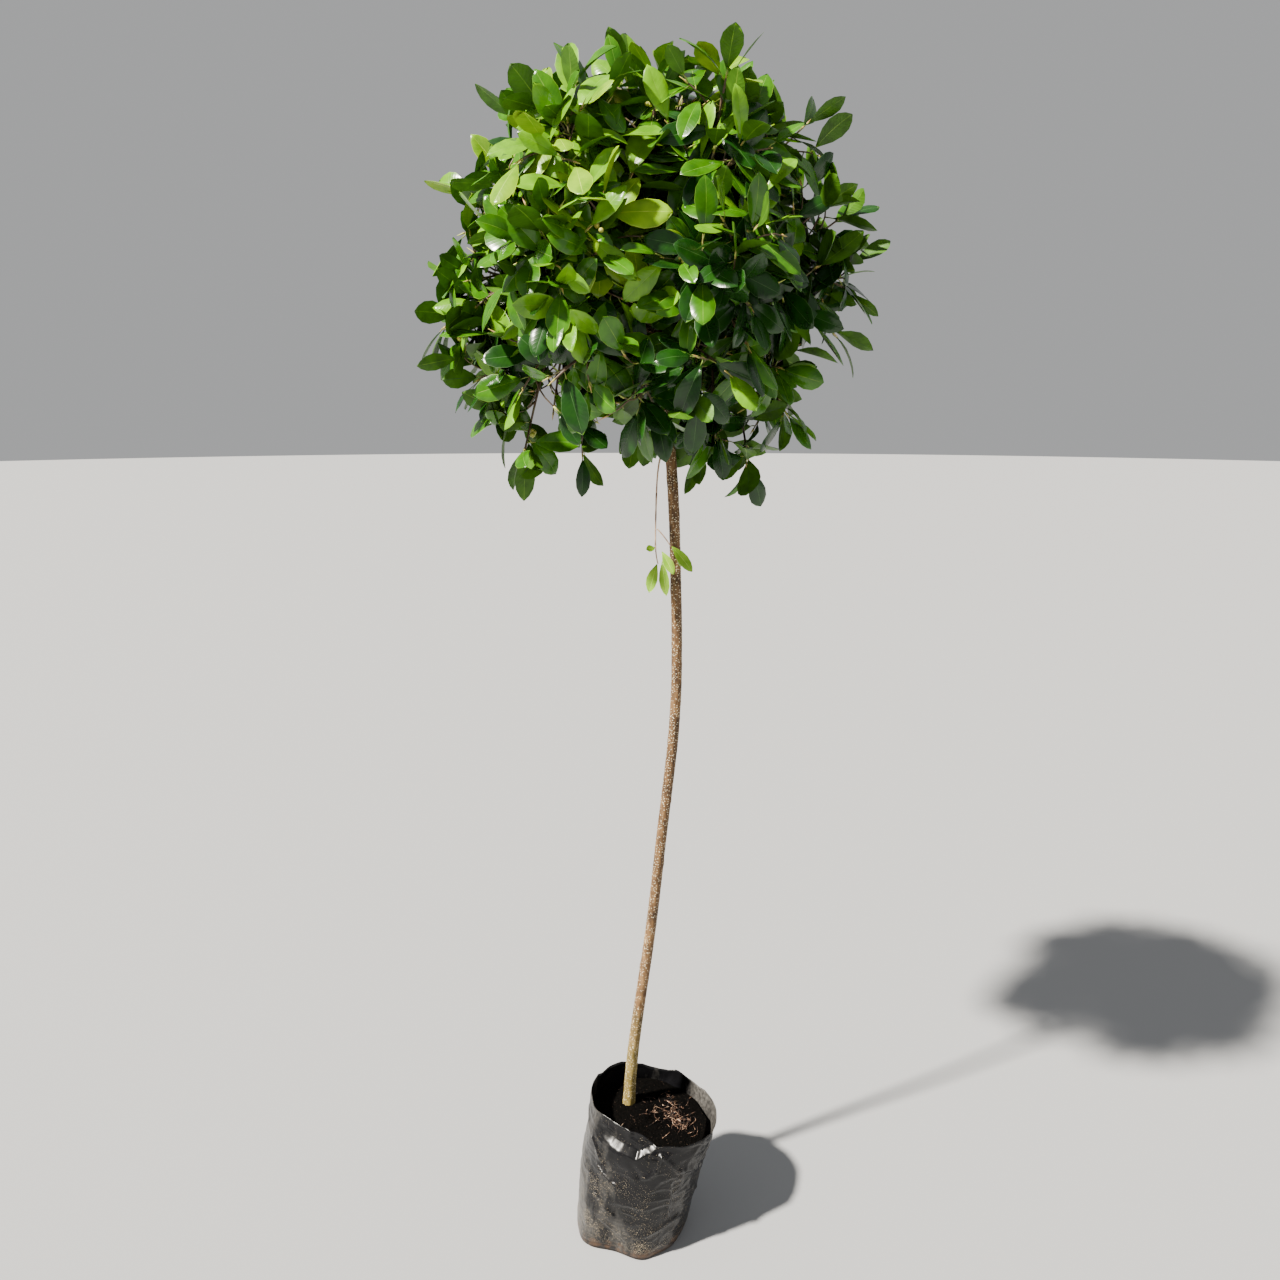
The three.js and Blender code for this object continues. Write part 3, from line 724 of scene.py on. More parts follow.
def leaf_tints():
    """Name and materials of each tint, from the deep one, which stands for painted shade, through full and
    bright, where bright stands partly for painted light, to the youngest: upper side, ribs and underside.
    """
    deep_rib = leaf_rib("leaf_rib_deep_painted_shade", "#28491f", "#3b5f29")
    rib = leaf_rib("leaf_rib_old", "#4c7a18", "#729624")
    young_rib = leaf_rib("leaf_rib_young", "#8bb01c", "#b2cb3c")
    under = leaf_underside("leaf_underside_old", "#30520c", "#477412")
    young_under = leaf_underside("leaf_underside_young", "#648a02", "#86a80a")
    # The deep tint and its rib are painted shade, the bright tint is partly painted light, and the young tint
    # is the real colour of new leaves
    deep = leaf_skin("leaf_waxy_deep_painted_shade", "#0d2c08", "#18420a", 0.24, 1.42)
    full = leaf_skin("leaf_waxy_full", "#255203", "#3d7204", 0.23, 1.42)
    bright = leaf_skin("leaf_waxy_bright_painted_light", "#497a00", "#6ca400", 0.23, 1.42)
    young = leaf_skin("leaf_waxy_young", "#5a8700", "#7fa900", 0.26, 1.36)
    return [
        ("leaves_deep_painted_shade", [deep, deep_rib, under]), ("leaves_full", [full, rib, under]),
        ("leaves_bright_painted_light", [bright, rib, under]), ("leaves_young", [young, young_rib, young_under]),
    ]


def face_leaves(root, along, outward, blade, age, rng):
    """The way each blade points and the way its upper side looks. Old leaves are pulled in to the ball, and
    all sag a little. Upper sides look outwards and up, most of all under the ball, with natural scatter."""
    away = unit(root - CROWN)
    blade = unit(blade - away * (LEAF_TUCK * smoothstep(0.1, 0.5, age))[:, None] - UP * LEAF_SAG)
    raised = 0.42 + 0.6 * np.maximum(-away[:, 2:], 0)
    scatter = rng.normal(0, LEAF_SCATTER, root.shape)
    return blade, unit(away * 0.7 + UP * raised + along * 0.15 - outward * 0.2 + scatter)


def fit_leaves(leaves, direction, reach):
    """Shortens the leaves that would pass their limit and tells which ones stay: those that keep enough of
    their length and leave the openings free. The limit is the reach of the nearest shoot, or that of the
    leaf's own shoot if it is further."""
    tips = leaves["root"] + leaves["along"] * leaves["length"][:, None]
    limit = reach_limit(unit(tips - CROWN), direction, reach)
    own = np.repeat(reach, SHOOT_LEAVES[0])
    limit[:len(own)] = np.maximum(limit[:len(own)], own)
    past = np.linalg.norm(tips - CROWN, axis=-1) - limit - REACH_SLACK
    fit = 1 - np.maximum(past, 0) / leaves["length"]
    keep = fit > SHORTEST_LEAF
    leaves["length"] *= np.clip(fit, SHORTEST_LEAF, 1)
    tips = leaves["root"] + leaves["along"] * leaves["length"][:, None]
    for share, margin in ((0.12, 0), (0.5, 4), (0.88, 0)):
        keep &= clear_of_gaps(lerp(leaves["root"], tips, share), margin)
    return keep


def make_foliage():
    """The ball: main shoots as the model has them, finer twigs on these, and the leaves of both."""
    rng = np.random.default_rng(411)
    facing, _, stems = plan_masses()
    direction, reach, roll = plan_shoots()
    shoots = shoot_curves(facing, stems, direction, reach)
    count = len(direction)
    twigs = side_twigs(shoots, roll, reach, TWIG_SHARES, rng)
    twig_roll = rng.uniform(0, 2 * math.pi, len(twigs[0]))
    stem_roll = rng.uniform(0, 2 * math.pi, len(facing))
    groups = [
        leaves_along(shoots, roll, *SHOOT_LEAVES, rng),
        leaves_along(twigs, twig_roll, *TWIG_LEAVES, rng),
        leaves_along(stems, stem_roll, *STEM_LEAVES, rng),
    ]
    root, along, outward, blade = [np.vstack([group[k] for group in groups]) for k in range(4)]
    age = np.concatenate([group[4] for group in groups])
    numbers = (count, len(twig_roll), len(facing))
    each = [SHOOT_LEAVES[0], TWIG_LEAVES[0], STEM_LEAVES[0]]
    branch = np.repeat(np.arange(sum(numbers)), np.repeat(each, numbers))
    spray = np.concatenate([
        np.arange(count), np.repeat(np.arange(count), len(TWIG_SHARES)), count + np.arange(len(facing)),
    ])
    blade, upper = face_leaves(root, along, outward, blade, age, rng)
    size = rng.uniform(0.8, 1.16, len(root)) * lerp(0.94, 1.0, smoothstep(0, 0.35, age))
    leaves = leaf_measures(root, blade, upper, size, rng)
    keep = fit_leaves(leaves, direction, reach)
    tints = deal_tints(root, branch, spray, age, rng)
    for tint, (name, materials) in enumerate(leaf_tints()):
        chosen = np.flatnonzero(keep & (tints == tint))
        for k in range(0, len(chosen), PIECE_LEAVES):
            own = {key: values[chosen[k:k + PIECE_LEAVES]] for key, values in leaves.items()}
            piece = add_leaves(f"{name}_{k // PIECE_LEAVES + 1}", own, materials)
            dress(piece, "foliage", *ring_nodes("foliage"), "foliage_top")
    stalks = tubes(
        root[keep], (root + outward * 3 + blade * 3)[keep], (leaves["root"] + blade * 2)[keep],
        (np.full(keep.sum(), 1.0), np.full(keep.sum(), 0.7)), sides=3, steps=3,
    )
    dress(add_tubes("leaf_stalks", [stalks], leaf_rib("leaf_stalk", "#66802c", "#8c9440")), "foliage")
    shoot_radii = (np.full(count, SHOOT_RADIUS), np.full(count, SHOOT_TIP_RADIUS))
    twig_radius = np.full(len(twig_roll), TWIG_RADIUS)
    limbs = [tubes(*shoots, shoot_radii), tubes(*twigs, (twig_radius, twig_radius * 0.6), steps=5)]
    dress(add_tubes("twigs", limbs, young_bark()), "bark")
    make_buds([shoots, twigs], rng)
    make_figs(root[keep], outward[keep], rng)


def leaf_measures(root, blade, upper, size, rng):
    """Each leaf's place, directions and shape, with natural scatter."""
    number = len(root)
    length = LEAF_LENGTH * size
    stalk = STALK_LENGTH * rng.uniform(0.7, 1.3, number)
    return {
        "root": root + blade * stalk[:, None], "along": blade, "upper": upper, "length": length,
        "width": LEAF_WIDTH * size * rng.uniform(0.86, 1.14, number), "droop": rng.uniform(0.05, 0.6, number),
        "fold": rng.uniform(0.12, 0.58, number), "curl": rng.uniform(0.12, 0.5, number),
        "wave": rng.uniform(0.2, 1.3, number),
    }


def make_buds(curves, rng):
    """A pointed sheath at the tip of every shoot and twig, 9 to 15 mm long."""
    tips = np.vstack([end for _, _, end in curves])
    ways = np.vstack([unit(end - bend) for _, bend, end in curves])
    length = rng.uniform(9, 15, len(tips))[:, None]
    wide = np.full(len(tips), 1.5)
    buds = tubes(tips - ways, tips + ways * length * 0.5, tips + ways * length, (wide, wide * 0.15), 5, 4)
    dress(add_tubes("buds", [buds], leaf_rib("bud_sheath", "#a9b858", "#c79a62")), "foliage")


def make_figs(roots, outward, rng):
    """Small round figs in clusters of three, in the axils of a few leaves."""
    axils = rng.choice(len(roots), FIG_CLUSTERS, replace=False)
    centre = np.repeat(roots[axils] + outward[axils] * 6, 3, axis=0)
    centre = centre + rng.normal(0, 1, centre.shape) * np.array([4.2, 4.2, 3.2])
    radius = rng.uniform(3.0, 4.3, len(centre))
    rows, columns = 5, 8
    turn = np.linspace(0, 2 * math.pi, columns, endpoint=False)
    tilt = np.linspace(-0.46, 0.46, rows) * math.pi
    ring = np.cos(tilt)[:, None, None] * np.stack([np.cos(turn), np.sin(turn), 0 * turn], axis=-1)
    ball = ring + np.sin(tilt)[:, None, None] * UP
    points = centre[:, None, None] + radius[:, None, None, None] * ball
    walls = repeated(grid_faces(rows, columns, True), len(centre), rows * columns)
    caps = repeated(end_caps(rows, columns), len(centre), rows * columns)
    dress(add_mesh("figs", points.reshape(-1, 3), [walls, caps], [fig_skin()]), "foliage")


def make_hanging_shoot():
    """The thin shoot that leaves the trunk under the ball, hangs down its left side and ends in pale leaves.
    Its twig is four curves, given by start, bend and end, and each of its six leaves by base and tip."""
    start = np.array([[52.0, 4, 1268], [38.5, -14, 1205], [39.6, -13, 1155], [37.5, -13, 1133]])
    bend = np.array([[40.0, -10, 1262], [37.5, -15, 1180], [48.0, -16, 1148], [37.5, -14, 1118]])
    end = np.array([[38.5, -14, 1205], [37.2, -13, 1130], [59.5, -17, 1130], [41.0, -15, 1106]])
    wide = np.array([1.5, 1.3, 1.0, 1.0])
    twig = tubes(start, bend, end, (wide, wide * 0.8), 6, 8)
    dress(add_tubes("hanging_twig", [twig], young_bark_thin()), "bark", "foliage_hanging_shoot")
    base = np.array([
        [37.0, -14, 1129], [39.8, -16, 1106], [46.5, -18, 1124], [47.0, -17, 1110], [60.5, -18, 1131],
        [61.0, -12, 1130],
    ])
    tip = np.array([
        [24.5, -22, 1128], [26.0, -26, 1066], [63.0, -32, 1094], [51.5, -30, 1062], [91.5, -26, 1098],
        [84.0, 0, 1101],
    ])
    upper = np.array([
        [0.1, -1, 0.6], [-0.3, -1, 0.4], [0.2, -1, 0.1], [-0.3, -1, 0.3], [0.5, -1, 0.6], [0.5, -0.8, 0.8],
    ])
    leaves = {
        "root": base, "along": unit(tip - base), "upper": unit(upper),
        "length": np.linalg.norm(tip - base, axis=-1), "width": np.array([11.0, 19, 15, 16, 20, 19]),
        "droop": np.array([0.1, 0.3, 0.1, 0.2, 0.2, 0.4]), "fold": np.array([0.3, 0.5, 0.3, 0.4, 0.2, 0.2]),
        "curl": np.full(6, 0.2), "wave": np.full(6, 0.7),
    }
    skins = [
        leaf_skin("leaf_waxy_pale", "#6c9c12", "#8ab624", 0.36, 1.42),
        leaf_rib("leaf_rib_hanging", "#b4cc5a", "#c9d97a"),
        leaf_underside("leaf_underside_pale", "#90b84a", "#a9cc62"),
    ]
    dress(add_leaves("hanging_leaves", leaves, skins), "foliage")


# Bark and twig skins

def fig_skin():
    """Unripe fig skin: smooth and yellow-green, with a warm flush."""
    material, tree, shader = new_material("fig_skin", 0.38)
    blotch = noise(tree, object_place(tree), 7, 2.0)
    tone = ramp(tree, blotch, [(0.3, "#97a53a"), (0.55, "#c4c253"), (0.8, "#c9a65a")])
    tree.links.new(tone, shader.inputs["Base Color"])
    return material


def young_bark_thin():
    """Bark of a weak, shaded twig: pinkish tan with darker patches."""
    material, tree, shader = new_material("twig_bark_thin", 0.6)
    place = object_place(tree)
    tone = ramp(tree, noise(tree, place, 16, 3.0), [(0.34, "#7c5c46"), (0.5, "#b39379"), (0.7, "#cbb195")])
    tree.links.new(tone, shader.inputs["Base Color"])
    bump(tree, shader, noise(tree, place, 2, 2.0), 0.3, 0.5)
    return material


def stem_bark():
    """Fig stem bark: matt tan-brown with fine upright wrinkles and pale corky pores, which lie crosswise and
    are 1 to 3 mm long. The lowest 15 cm or so is olive-straw."""
    material, tree, shader = new_material("stem_bark", 0.72, 1.45)
    place = object_place(tree)
    stretched = add_node(tree, "ShaderNodeMapping", {"Vector": place, "Scale": (1.0, 1.0, 0.16)})
    grain = noise(tree, stretched.outputs["Vector"], 3.2, 4.0, 0.62)
    blotch = noise(tree, place, 34, 3.0)
    mixed = plus(tree, times(tree, grain, 0.55), times(tree, blotch, 0.45))
    upper = ramp(tree, mixed, [(0.36, "#2f2012"), (0.46, "#523a20"), (0.55, "#715331"), (0.68, "#94744a")])
    lower = ramp(tree, mixed, [(0.36, "#5d5022"), (0.5, "#7a6931"), (0.66, "#968449")])
    height = add_node(tree, "ShaderNodeSeparateXYZ", {"Vector": place}).outputs["Z"]
    rise = remap(tree, plus(tree, height, times(tree, blotch, 0.09)), 0.315, 0.43)
    skin = blend_colours(tree, rise, lower, upper)
    flat = add_node(tree, "ShaderNodeMapping", {"Vector": place, "Scale": (1.0, 1.0, 1.7)})
    cells = add_node(tree, "ShaderNodeTexVoronoi", {"Vector": flat.outputs["Vector"], "Scale": 260.0})
    pore = remap(tree, cells.outputs["Distance"], 0.3, 0.2)
    tone = blend_colours(tree, pore, skin, linear("#e9dab6"))
    tree.links.new(tone, shader.inputs["Base Color"])
    bump(tree, shader, plus(tree, times(tree, pore, 0.9), grain), 0.6, 0.8)
    return material


def limb_surface(centre, along, radius, sides, rng, knots=()):
    """A limb with bark relief: rings round a centre line, whose radius is multiplied by one plus swellings at
    the joints where leaves once stood, sines for upright ridges, and a smoothed roughness. Each knot adds a
    round boss with a hollow in it. Returns points, walls and caps."""
    steps = len(centre)
    across, up = square_frame(along)
    turn = np.linspace(0, 2 * math.pi, sides, endpoint=False)
    travelled = np.concatenate([[0], np.cumsum(np.linalg.norm(np.diff(centre, axis=0), axis=-1))])
    joints = np.cumsum(rng.uniform(18, 52, 60))
    near = np.abs(travelled[:, None] - joints[None])
    swelling = (0.035 * np.exp(-(near / 2.6) ** 2) - 0.02 * np.exp(-(near / 1.1) ** 2)).sum(axis=1)
    ridges = 0.018 * np.sin(5 * turn[None] + travelled[:, None] / 46 + 1.2 * np.sin(travelled[:, None] / 85))
    ridges = ridges + 0.012 * np.sin(11 * turn[None] - travelled[:, None] / 27)
    rough = rng.normal(0, 0.009, (steps, sides))
    rough = (rough + np.roll(rough, 1, axis=0) + np.roll(rough, 1, axis=1)) / 2
    grown = radius[:, None] * (1 + swelling[:, None] + ridges + rough)
    for place, bearing, size, bulge in knots:
        around = np.abs((turn - bearing + math.pi) % (2 * math.pi) - math.pi)[None] * radius[:, None]
        distance = np.sqrt(around ** 2 + (travelled - place)[:, None] ** 2) / size
        grown = grown + bulge * (np.exp(-distance ** 2) - 0.85 * np.exp(-(distance * 2.4) ** 2))
    ring = across[:, None] * np.cos(turn)[:, None] + up[:, None] * np.sin(turn)[:, None]
    points = centre[:, None] + grown[..., None] * ring
    return points.reshape(-1, 3), grid_faces(steps, sides, True), end_caps(steps, sides)


def make_limbs():
    """The trunk, from just below the compost's surface to high in the ball, the boughs that leave it, and the
    stems that go on from these into the masses."""
    rng = np.random.default_rng(77)
    bark = stem_bark()
    height = np.linspace(SOIL_LEVEL - 6, TRUNK_TOP, 860)
    centre = stem_axis(height)
    along = unit(np.gradient(centre, axis=0))
    knots = [(place - SOIL_LEVEL, *shape) for place, *shape in STEM_KNOTS]
    trunk = limb_surface(centre, along, stem_radius(height), 44, rng, knots)
    dress(add_tubes("trunk_bark", [trunk], bark), "bark", "trunk")
    _, boughs, stems = plan_masses()
    limbs = []
    for start, bend, end, first, last, steps in [
        *[(*curve, BOUGH_RADIUS, BOUGH_TIP_RADIUS, 60) for curve in zip(*boughs)],
        *[(*curve, INNER_STEM_RADIUS, INNER_STEM_TIP_RADIUS, 40) for curve in zip(*stems)],
    ]:
        share = np.linspace(0, 1, steps)
        line, way = bezier(start[None], bend[None], end[None], share)
        limbs.append(limb_surface(line[0], way[0], lerp(first, last, share), 14, rng))
    dress(add_tubes("bough_bark", limbs, bark), "bark", *ring_nodes("bough"))


# The bag and the compost

def rim_height(bearing):
    """The rim's height: a cosine that stands high at the left and low at the right, two sines for waves, the
    small corners of its cut edge, and a bell-shaped dip at the front fold."""
    wave = RIM_WAVE * (np.sin(3 * bearing + 0.6) + 0.7 * np.sin(7 * bearing))
    wave = wave + np.interp(bearing / DEGREE, *zip(*RIM_KINKS), period=360)
    fold = FOLD_DEPTH * np.exp(-((bearing - FOLD_BEARING) / 0.2) ** 2)
    return RIM_HEIGHT - RIM_DIP * np.cos(bearing) + wave - fold


def bag_radius(share):
    """From the foot's radius to the rim's, along a quarter sine of the share of the height, which is raised
    to the power 0.8."""
    return FOOT_RADIUS + (RIM_RADIUS - FOOT_RADIUS) * np.sin(0.5 * math.pi * np.clip(share, 0, 1)) ** 0.8


def slump(radius, bearing, height):
    """A turned shape becomes soft: its height follows the rim and it leans to the right as it rises."""
    share = height / RIM_HEIGHT
    lift = (rim_height(bearing) - RIM_HEIGHT) * share ** 2 * np.minimum(radius / 60, 1)
    x = radius * np.cos(bearing) + BAG_LEAN * share
    return np.stack([x, radius * np.sin(bearing), height + lift], axis=-1)


def film_noise(bearing, height, around, up, rng):
    """Smooth noise from -1 to 1 on a lattice of random values that closes round the bag."""
    values = rng.uniform(-1, 1, (up + 2, around))
    u = (bearing / (2 * math.pi) % 1) * around
    v = np.clip(height / (RIM_HEIGHT + 10), 0, 1) * up
    i, j = np.floor(u).astype(int) % around, np.floor(v).astype(int)
    f, g = u - np.floor(u), v - np.floor(v)
    f, g = f * f * (3 - 2 * f), g * g * (3 - 2 * g)
    low = lerp(values[j, i], values[j, (i + 1) % around], f)
    high = lerp(values[j + 1, i], values[j + 1, (i + 1) % around], f)
    return lerp(low, high, g)


def film_crease(bearing, height, start, end, depth, width):
    """A straight crease from start to end, each (bearing in degrees, height): a tent across it that falls to
    nothing at width, to the power 1.3."""
    x = (bearing / DEGREE - start[0] + 180) % 360 - 180
    run = np.array([(end[0] - start[0]) * 1.66, end[1] - start[1]])
    size = np.hypot(*run)
    place = np.stack([x * 1.66, height - start[1]], axis=-1)
    along = (place @ run) / size
    across = np.abs(place @ np.array([-run[1], run[0]])) / size
    past = np.maximum(np.maximum(-along, along - size), 0)
    return depth * np.maximum(0, 1 - np.hypot(across, past) / width) ** 1.3


def hem_place(bearing, height):
    """Height above the V-shaped fold of the hem, and how near the front left the place is, from 0 to 1."""
    fold = np.interp(bearing, HEM_BEARINGS, HEM_HEIGHTS)
    return height - fold, np.exp(-((bearing - HEM_MIDDLE) / HEM_SPREAD) ** 4)


def film_slack(bearing, height):
    """Soft shape in millimetres. The top leans in over the compost at the front left, in two smooth steps up
    the side, and its hem turns in above a V-shaped fold. It leans out at the right. The foot has bell-shaped
    corners and a flat run between, which fade out upwards."""
    high = smoothstep(150, RIM_HEIGHT, height)
    lean = 8 * smoothstep(160, RIM_HEIGHT, height) + 3 * smoothstep(189, RIM_HEIGHT + 3, height)
    lean = lean * np.exp(-((bearing + 1.85) / 0.85) ** 2)
    above, front = hem_place(bearing, height)
    lean = lean + HEM_TURN * np.clip(above / 9 + 0.5, 0, 1) * front
    low = 1 - smoothstep(10, 125, height)
    foot = 2 * np.cos(5 * bearing + 0.4) * np.cos(bearing / 2 - 0.8) ** 2
    for corner, size, wide in FOOT_CORNERS:
        foot = foot + size * np.exp(-((bearing - corner) / wide) ** 2)
    return 6 * high * np.exp(-((bearing + 0.1) / 0.8) ** 2) - lean + low * foot


def film_relief(bearing, height):
    """How far the film stands out, in millimetres: soft bulges, creases where a noise changes sign, and the
    folds that show in front. It is calm at the foot, where the bag is packed tight, and along the hem's fold,
    which is pulled tight, and most rumpled below the rim at the front left."""
    rng = np.random.default_rng(31)
    rumpled = np.exp(-((bearing + 2.15) / 0.5) ** 2) * smoothstep(130, 200, height)
    share = np.clip(height / RIM_HEIGHT, 0, 1.1)
    slack = lerp(0.45, 1.0, smoothstep(0.1, 0.8, share))
    relief = 1.8 * film_noise(bearing, height, 7, 3, rng)
    for around, up, depth, width in FILM_LAYERS:
        twisted = bearing + 0.0016 * height * (1 if up % 2 else -1)
        value = film_noise(twisted, height, around, up, rng)
        crisp = 1 + rumpled * (up > FINE_LAYER)
        relief = relief + depth * crisp * (np.maximum(0, 1 - np.abs(value) / width) - 0.35)
    above, front = hem_place(bearing, height)
    relief = relief * slack * (1 - 0.66 * front * np.exp(-(above / 7) ** 4))
    for start, end, depth, width in FILM_FOLDS:
        relief = relief + film_crease(bearing, height, start, end, depth, width)
    return relief * smoothstep(0.0, 0.08, share) + film_slack(bearing, height)


def bag_film():
    """Black polythene film: smooth and glossy, with streaks of grey dust, fine grains of sand, and a rim of
    earth at the foot. The grey is thicker on the outer side at the left and on the inner side at the right,
    where it is partly painted light, and thinner on the outer side at the right, as painted shade. The hem's
    fold is wiped."""
    material, tree, shader = new_material("bag_film", 0.3, 1.34)
    place = object_place(tree)
    axes = add_node(tree, "ShaderNodeSeparateXYZ", {"Vector": place})
    low = remap(tree, axes.outputs["Z"], 0.0, 0.2, 0.2, -0.08)
    # Painted light and shade: the grey is laid thicker on the lit inner wall at the right and on the lit
    # outer side at the left, and thinner on the shaded outer side at the right, over the real dust
    right = remap(tree, axes.outputs["X"], 0.075, 0.115, 0.0, 0.3)
    left = remap(tree, axes.outputs["X"], 0.04, -0.085, -0.2, 0.16)
    inner = attribute(tree, "inner").outputs["Fac"]
    slanted = add_node(tree, "ShaderNodeMapping", {
        "Vector": place, "Rotation": (0.0, 0.6, 0.3), "Scale": (1.0, 1.0, 0.35),
    }).outputs["Vector"]
    outer = times(tree, minus(tree, 1.0, inner), left)
    dust_and_lit_sides = plus(tree, times(tree, inner, right), outer)
    dust_streaks_and_lit_sides = plus(tree, noise(tree, slanted, 30, 5.0, 0.6), dust_and_lit_sides)
    wiped = minus(tree, 1.0, attribute(tree, "hem").outputs["Fac"])
    dust_and_painted_light = remap(tree, plus(tree, dust_streaks_and_lit_sides, times(tree, low, 0.4)), 0.52, 0.92, 0.0, 0.62)
    dust_and_painted_light = times(tree, dust_and_painted_light, wiped)
    spread = plus(tree, noise(tree, place, 34, 3.0), low)
    spread = minus(tree, spread, times(tree, inner, 0.3))
    grain = remap(tree, plus(tree, noise(tree, place, 1.0, 1.0), times(tree, spread, 0.35)), 0.89, 0.94)
    film = ramp(tree, noise(tree, place, 40, 4.0), [(0.3, "#070708"), (0.6, "#0e0e10"), (0.8, "#18181a")])
    grey_dust_and_light = ramp(tree, noise(tree, place, 5, 3.0), [(0.3, "#3a3937"), (0.7, "#75726d")])
    # The grey stands for dust and, on the lit sides, for painted light
    tone = blend_colours(tree, dust_and_painted_light, film, grey_dust_and_light)
    ragged = plus(tree, low, times(tree, noise(tree, place, 16, 5.0, 0.7), 0.12))
    earth = remap(tree, ragged, 0.235, 0.26)
    tone = blend_colours(tree, times(tree, earth, 0.7), tone, linear("#5a4330"))
    tone = blend_colours(tree, grain, tone, linear("#aa9c84"))
    tree.links.new(tone, shader.inputs["Base Color"])
    cover = math_node(tree, "MAXIMUM", math_node(tree, "MAXIMUM", grain, dust_and_painted_light), earth)
    tree.links.new(remap(tree, cover, 0.0, 1.0, 0.27, 0.5), shader.inputs["Roughness"])
    crease = math_node(tree, "ABSOLUTE", minus(tree, noise(tree, slanted, 26, 3.0, 0.5), 0.5))
    crease = times(tree, math_node(tree, "POWER", crease, 0.9), wiped)
    bump(tree, shader, plus(tree, times(tree, grain, 0.02), crease), 9.0, 0.25)
    return material


def make_bag():
    """The bag as one closed skin: out over the foot, up the outside, over the rim and down the inside."""
    columns = 400
    bearing = np.linspace(-math.pi, math.pi, columns, endpoint=False)[None]
    up = np.linspace(0.012, 1, 150)
    foot = np.array([0.1, 0.4, 0.8, 0.95]) * FOOT_FLAT
    edge = np.linspace(0, 0.5 * math.pi, 7)[1:-1]
    outer = lerp(FOOT_FLAT + 6.5 * np.sin(edge[-1]), bag_radius(up), smoothstep(0.0, 0.06, up))
    down = np.linspace(1, 0.02, 44)
    inside = bag_radius(down) - FILM
    radius = np.concatenate([foot, FOOT_FLAT + 6.5 * np.sin(edge), outer, inside, foot[::-1]])
    side = lerp(5, RIM_HEIGHT, (up - up[0]) / (1 - up[0]))
    height = np.concatenate([foot * 0, 5.0 * (1 - np.cos(edge)), side, down * RIM_HEIGHT, foot * 0 + 3])
    radius, height = radius[:, None], height[:, None]
    rows = len(radius)
    relief = film_relief(bearing + 0 * height, height + 0 * bearing) * np.clip(radius / FOOT_FLAT, 0, 1)
    points = slump(radius + relief, bearing + 0 * height, height + 0 * bearing)
    inner = np.repeat(np.arange(rows) >= rows - len(down) - len(foot), columns).astype(float)
    above, front = hem_place(bearing, height)
    hem = front * np.exp(-(above / 8) ** 4) * np.ones_like(relief)
    piece = add_mesh(
        "bag_film", points.reshape(-1, 3), [grid_faces(rows, columns, True), end_caps(rows, columns)],
        [bag_film()], attributes={"inner": inner, "hem": hem.ravel() * HEM_WIPED * (1 - inner)},
    )
    dress(piece, "film", "bag")


def compost_height(x, y):
    """The compost falls a little to the right, with low heaps, and is level where the trunk stands."""
    away = smoothstep(16, 50, np.hypot(x - STEM_FOOT[0], y - STEM_FOOT[1]))
    heaps = 2.5 * np.sin(x / 17) * np.cos(y / 13) - SOIL_FALL * np.maximum(x - STEM_FOOT[0], 0)
    return SOIL_LEVEL + 1 + away * heaps


def compost():
    """Damp peat compost: nearly black, crumbly, with a little brown fibre."""
    material, tree, shader = new_material("compost_peat", 0.95, 1.14)
    place = object_place(tree)
    crumbs = noise(tree, place, 4, 5.0, 0.7)
    tone = ramp(tree, crumbs, [(0.38, "#010101"), (0.56, "#040302"), (0.68, "#0c0705"), (0.8, "#2c1d14")])
    speck = remap(tree, noise(tree, place, 1.6, 1.0), 0.74, 0.79)
    tone = blend_colours(tree, speck, tone, linear("#6a574a"))
    tree.links.new(tone, shader.inputs["Base Color"])
    bump(tree, shader, crumbs, 3.0, 0.9)
    return material


def make_compost():
    """The compost as one closed skin: rings of its top, which follow the film at the edge and carry crumbs
    made of crossed sines and a little scatter, then a short wall inside the bag that slopes in downwards."""
    rng = np.random.default_rng(5)
    rings, columns = 96, 216
    bearing = np.linspace(-math.pi, math.pi, columns, endpoint=False)[None]
    share = np.linspace(0.01, 1, rings)[:, None]
    level = SOIL_LEVEL / RIM_HEIGHT
    shrunk = 9 * np.exp(-((bearing + 0.1) / 0.8) ** 2)
    edge = bag_radius(level) - FILM - 0.3 - shrunk + film_relief(bearing, SOIL_LEVEL + 0 * bearing)
    x = share * edge * np.cos(bearing) + BAG_LEAN * level
    y = share * edge * np.sin(bearing)
    x = x + BAG_LEAN / RIM_HEIGHT * (compost_height(x, y) - SOIL_LEVEL - 1)
    crumbs = sum(
        size * np.sin(x / a + 3 * np.sin(y / b)) * np.sin(y / b + 2 * np.sin(x / a)) for a, b, size in CRUMBS
    ) + rng.normal(0, 0.35, x.shape)
    z = compost_height(x, y) + crumbs * smoothstep(0.0, 0.05, 1 - share)
    wall = np.array([0.99, 0.97, 0.9])[:, None]
    depth = SOIL_LEVEL * (0 * bearing + wall ** 6)
    side = slump(bag_radius(level * wall) * wall - 5, bearing + 0 * wall, depth)
    points = np.concatenate([np.stack([x, y, z], axis=-1), side[..., :3]])
    rows = len(points)
    faces = [grid_faces(rows, columns, True)[:, ::-1], end_caps(rows, columns)[:, ::-1]]
    dress(add_mesh("compost", points.reshape(-1, 3), faces, [compost()]), "soil", "soil")
    make_chips(rng)


def chip_skin():
    """Shredded bark and coir fibre: dry, reddish brown to pinkish tan."""
    material, tree, shader = new_material("bark_chips", 0.85)
    tone = ramp(tree, noise(tree, object_place(tree), 7, 2.0, 0.6), [
        (0.4, "#0e0806"), (0.5, "#3f291d"), (0.58, "#80604b"), (0.66, "#c4a890"),
    ])
    tree.links.new(tone, shader.inputs["Base Color"])
    return material


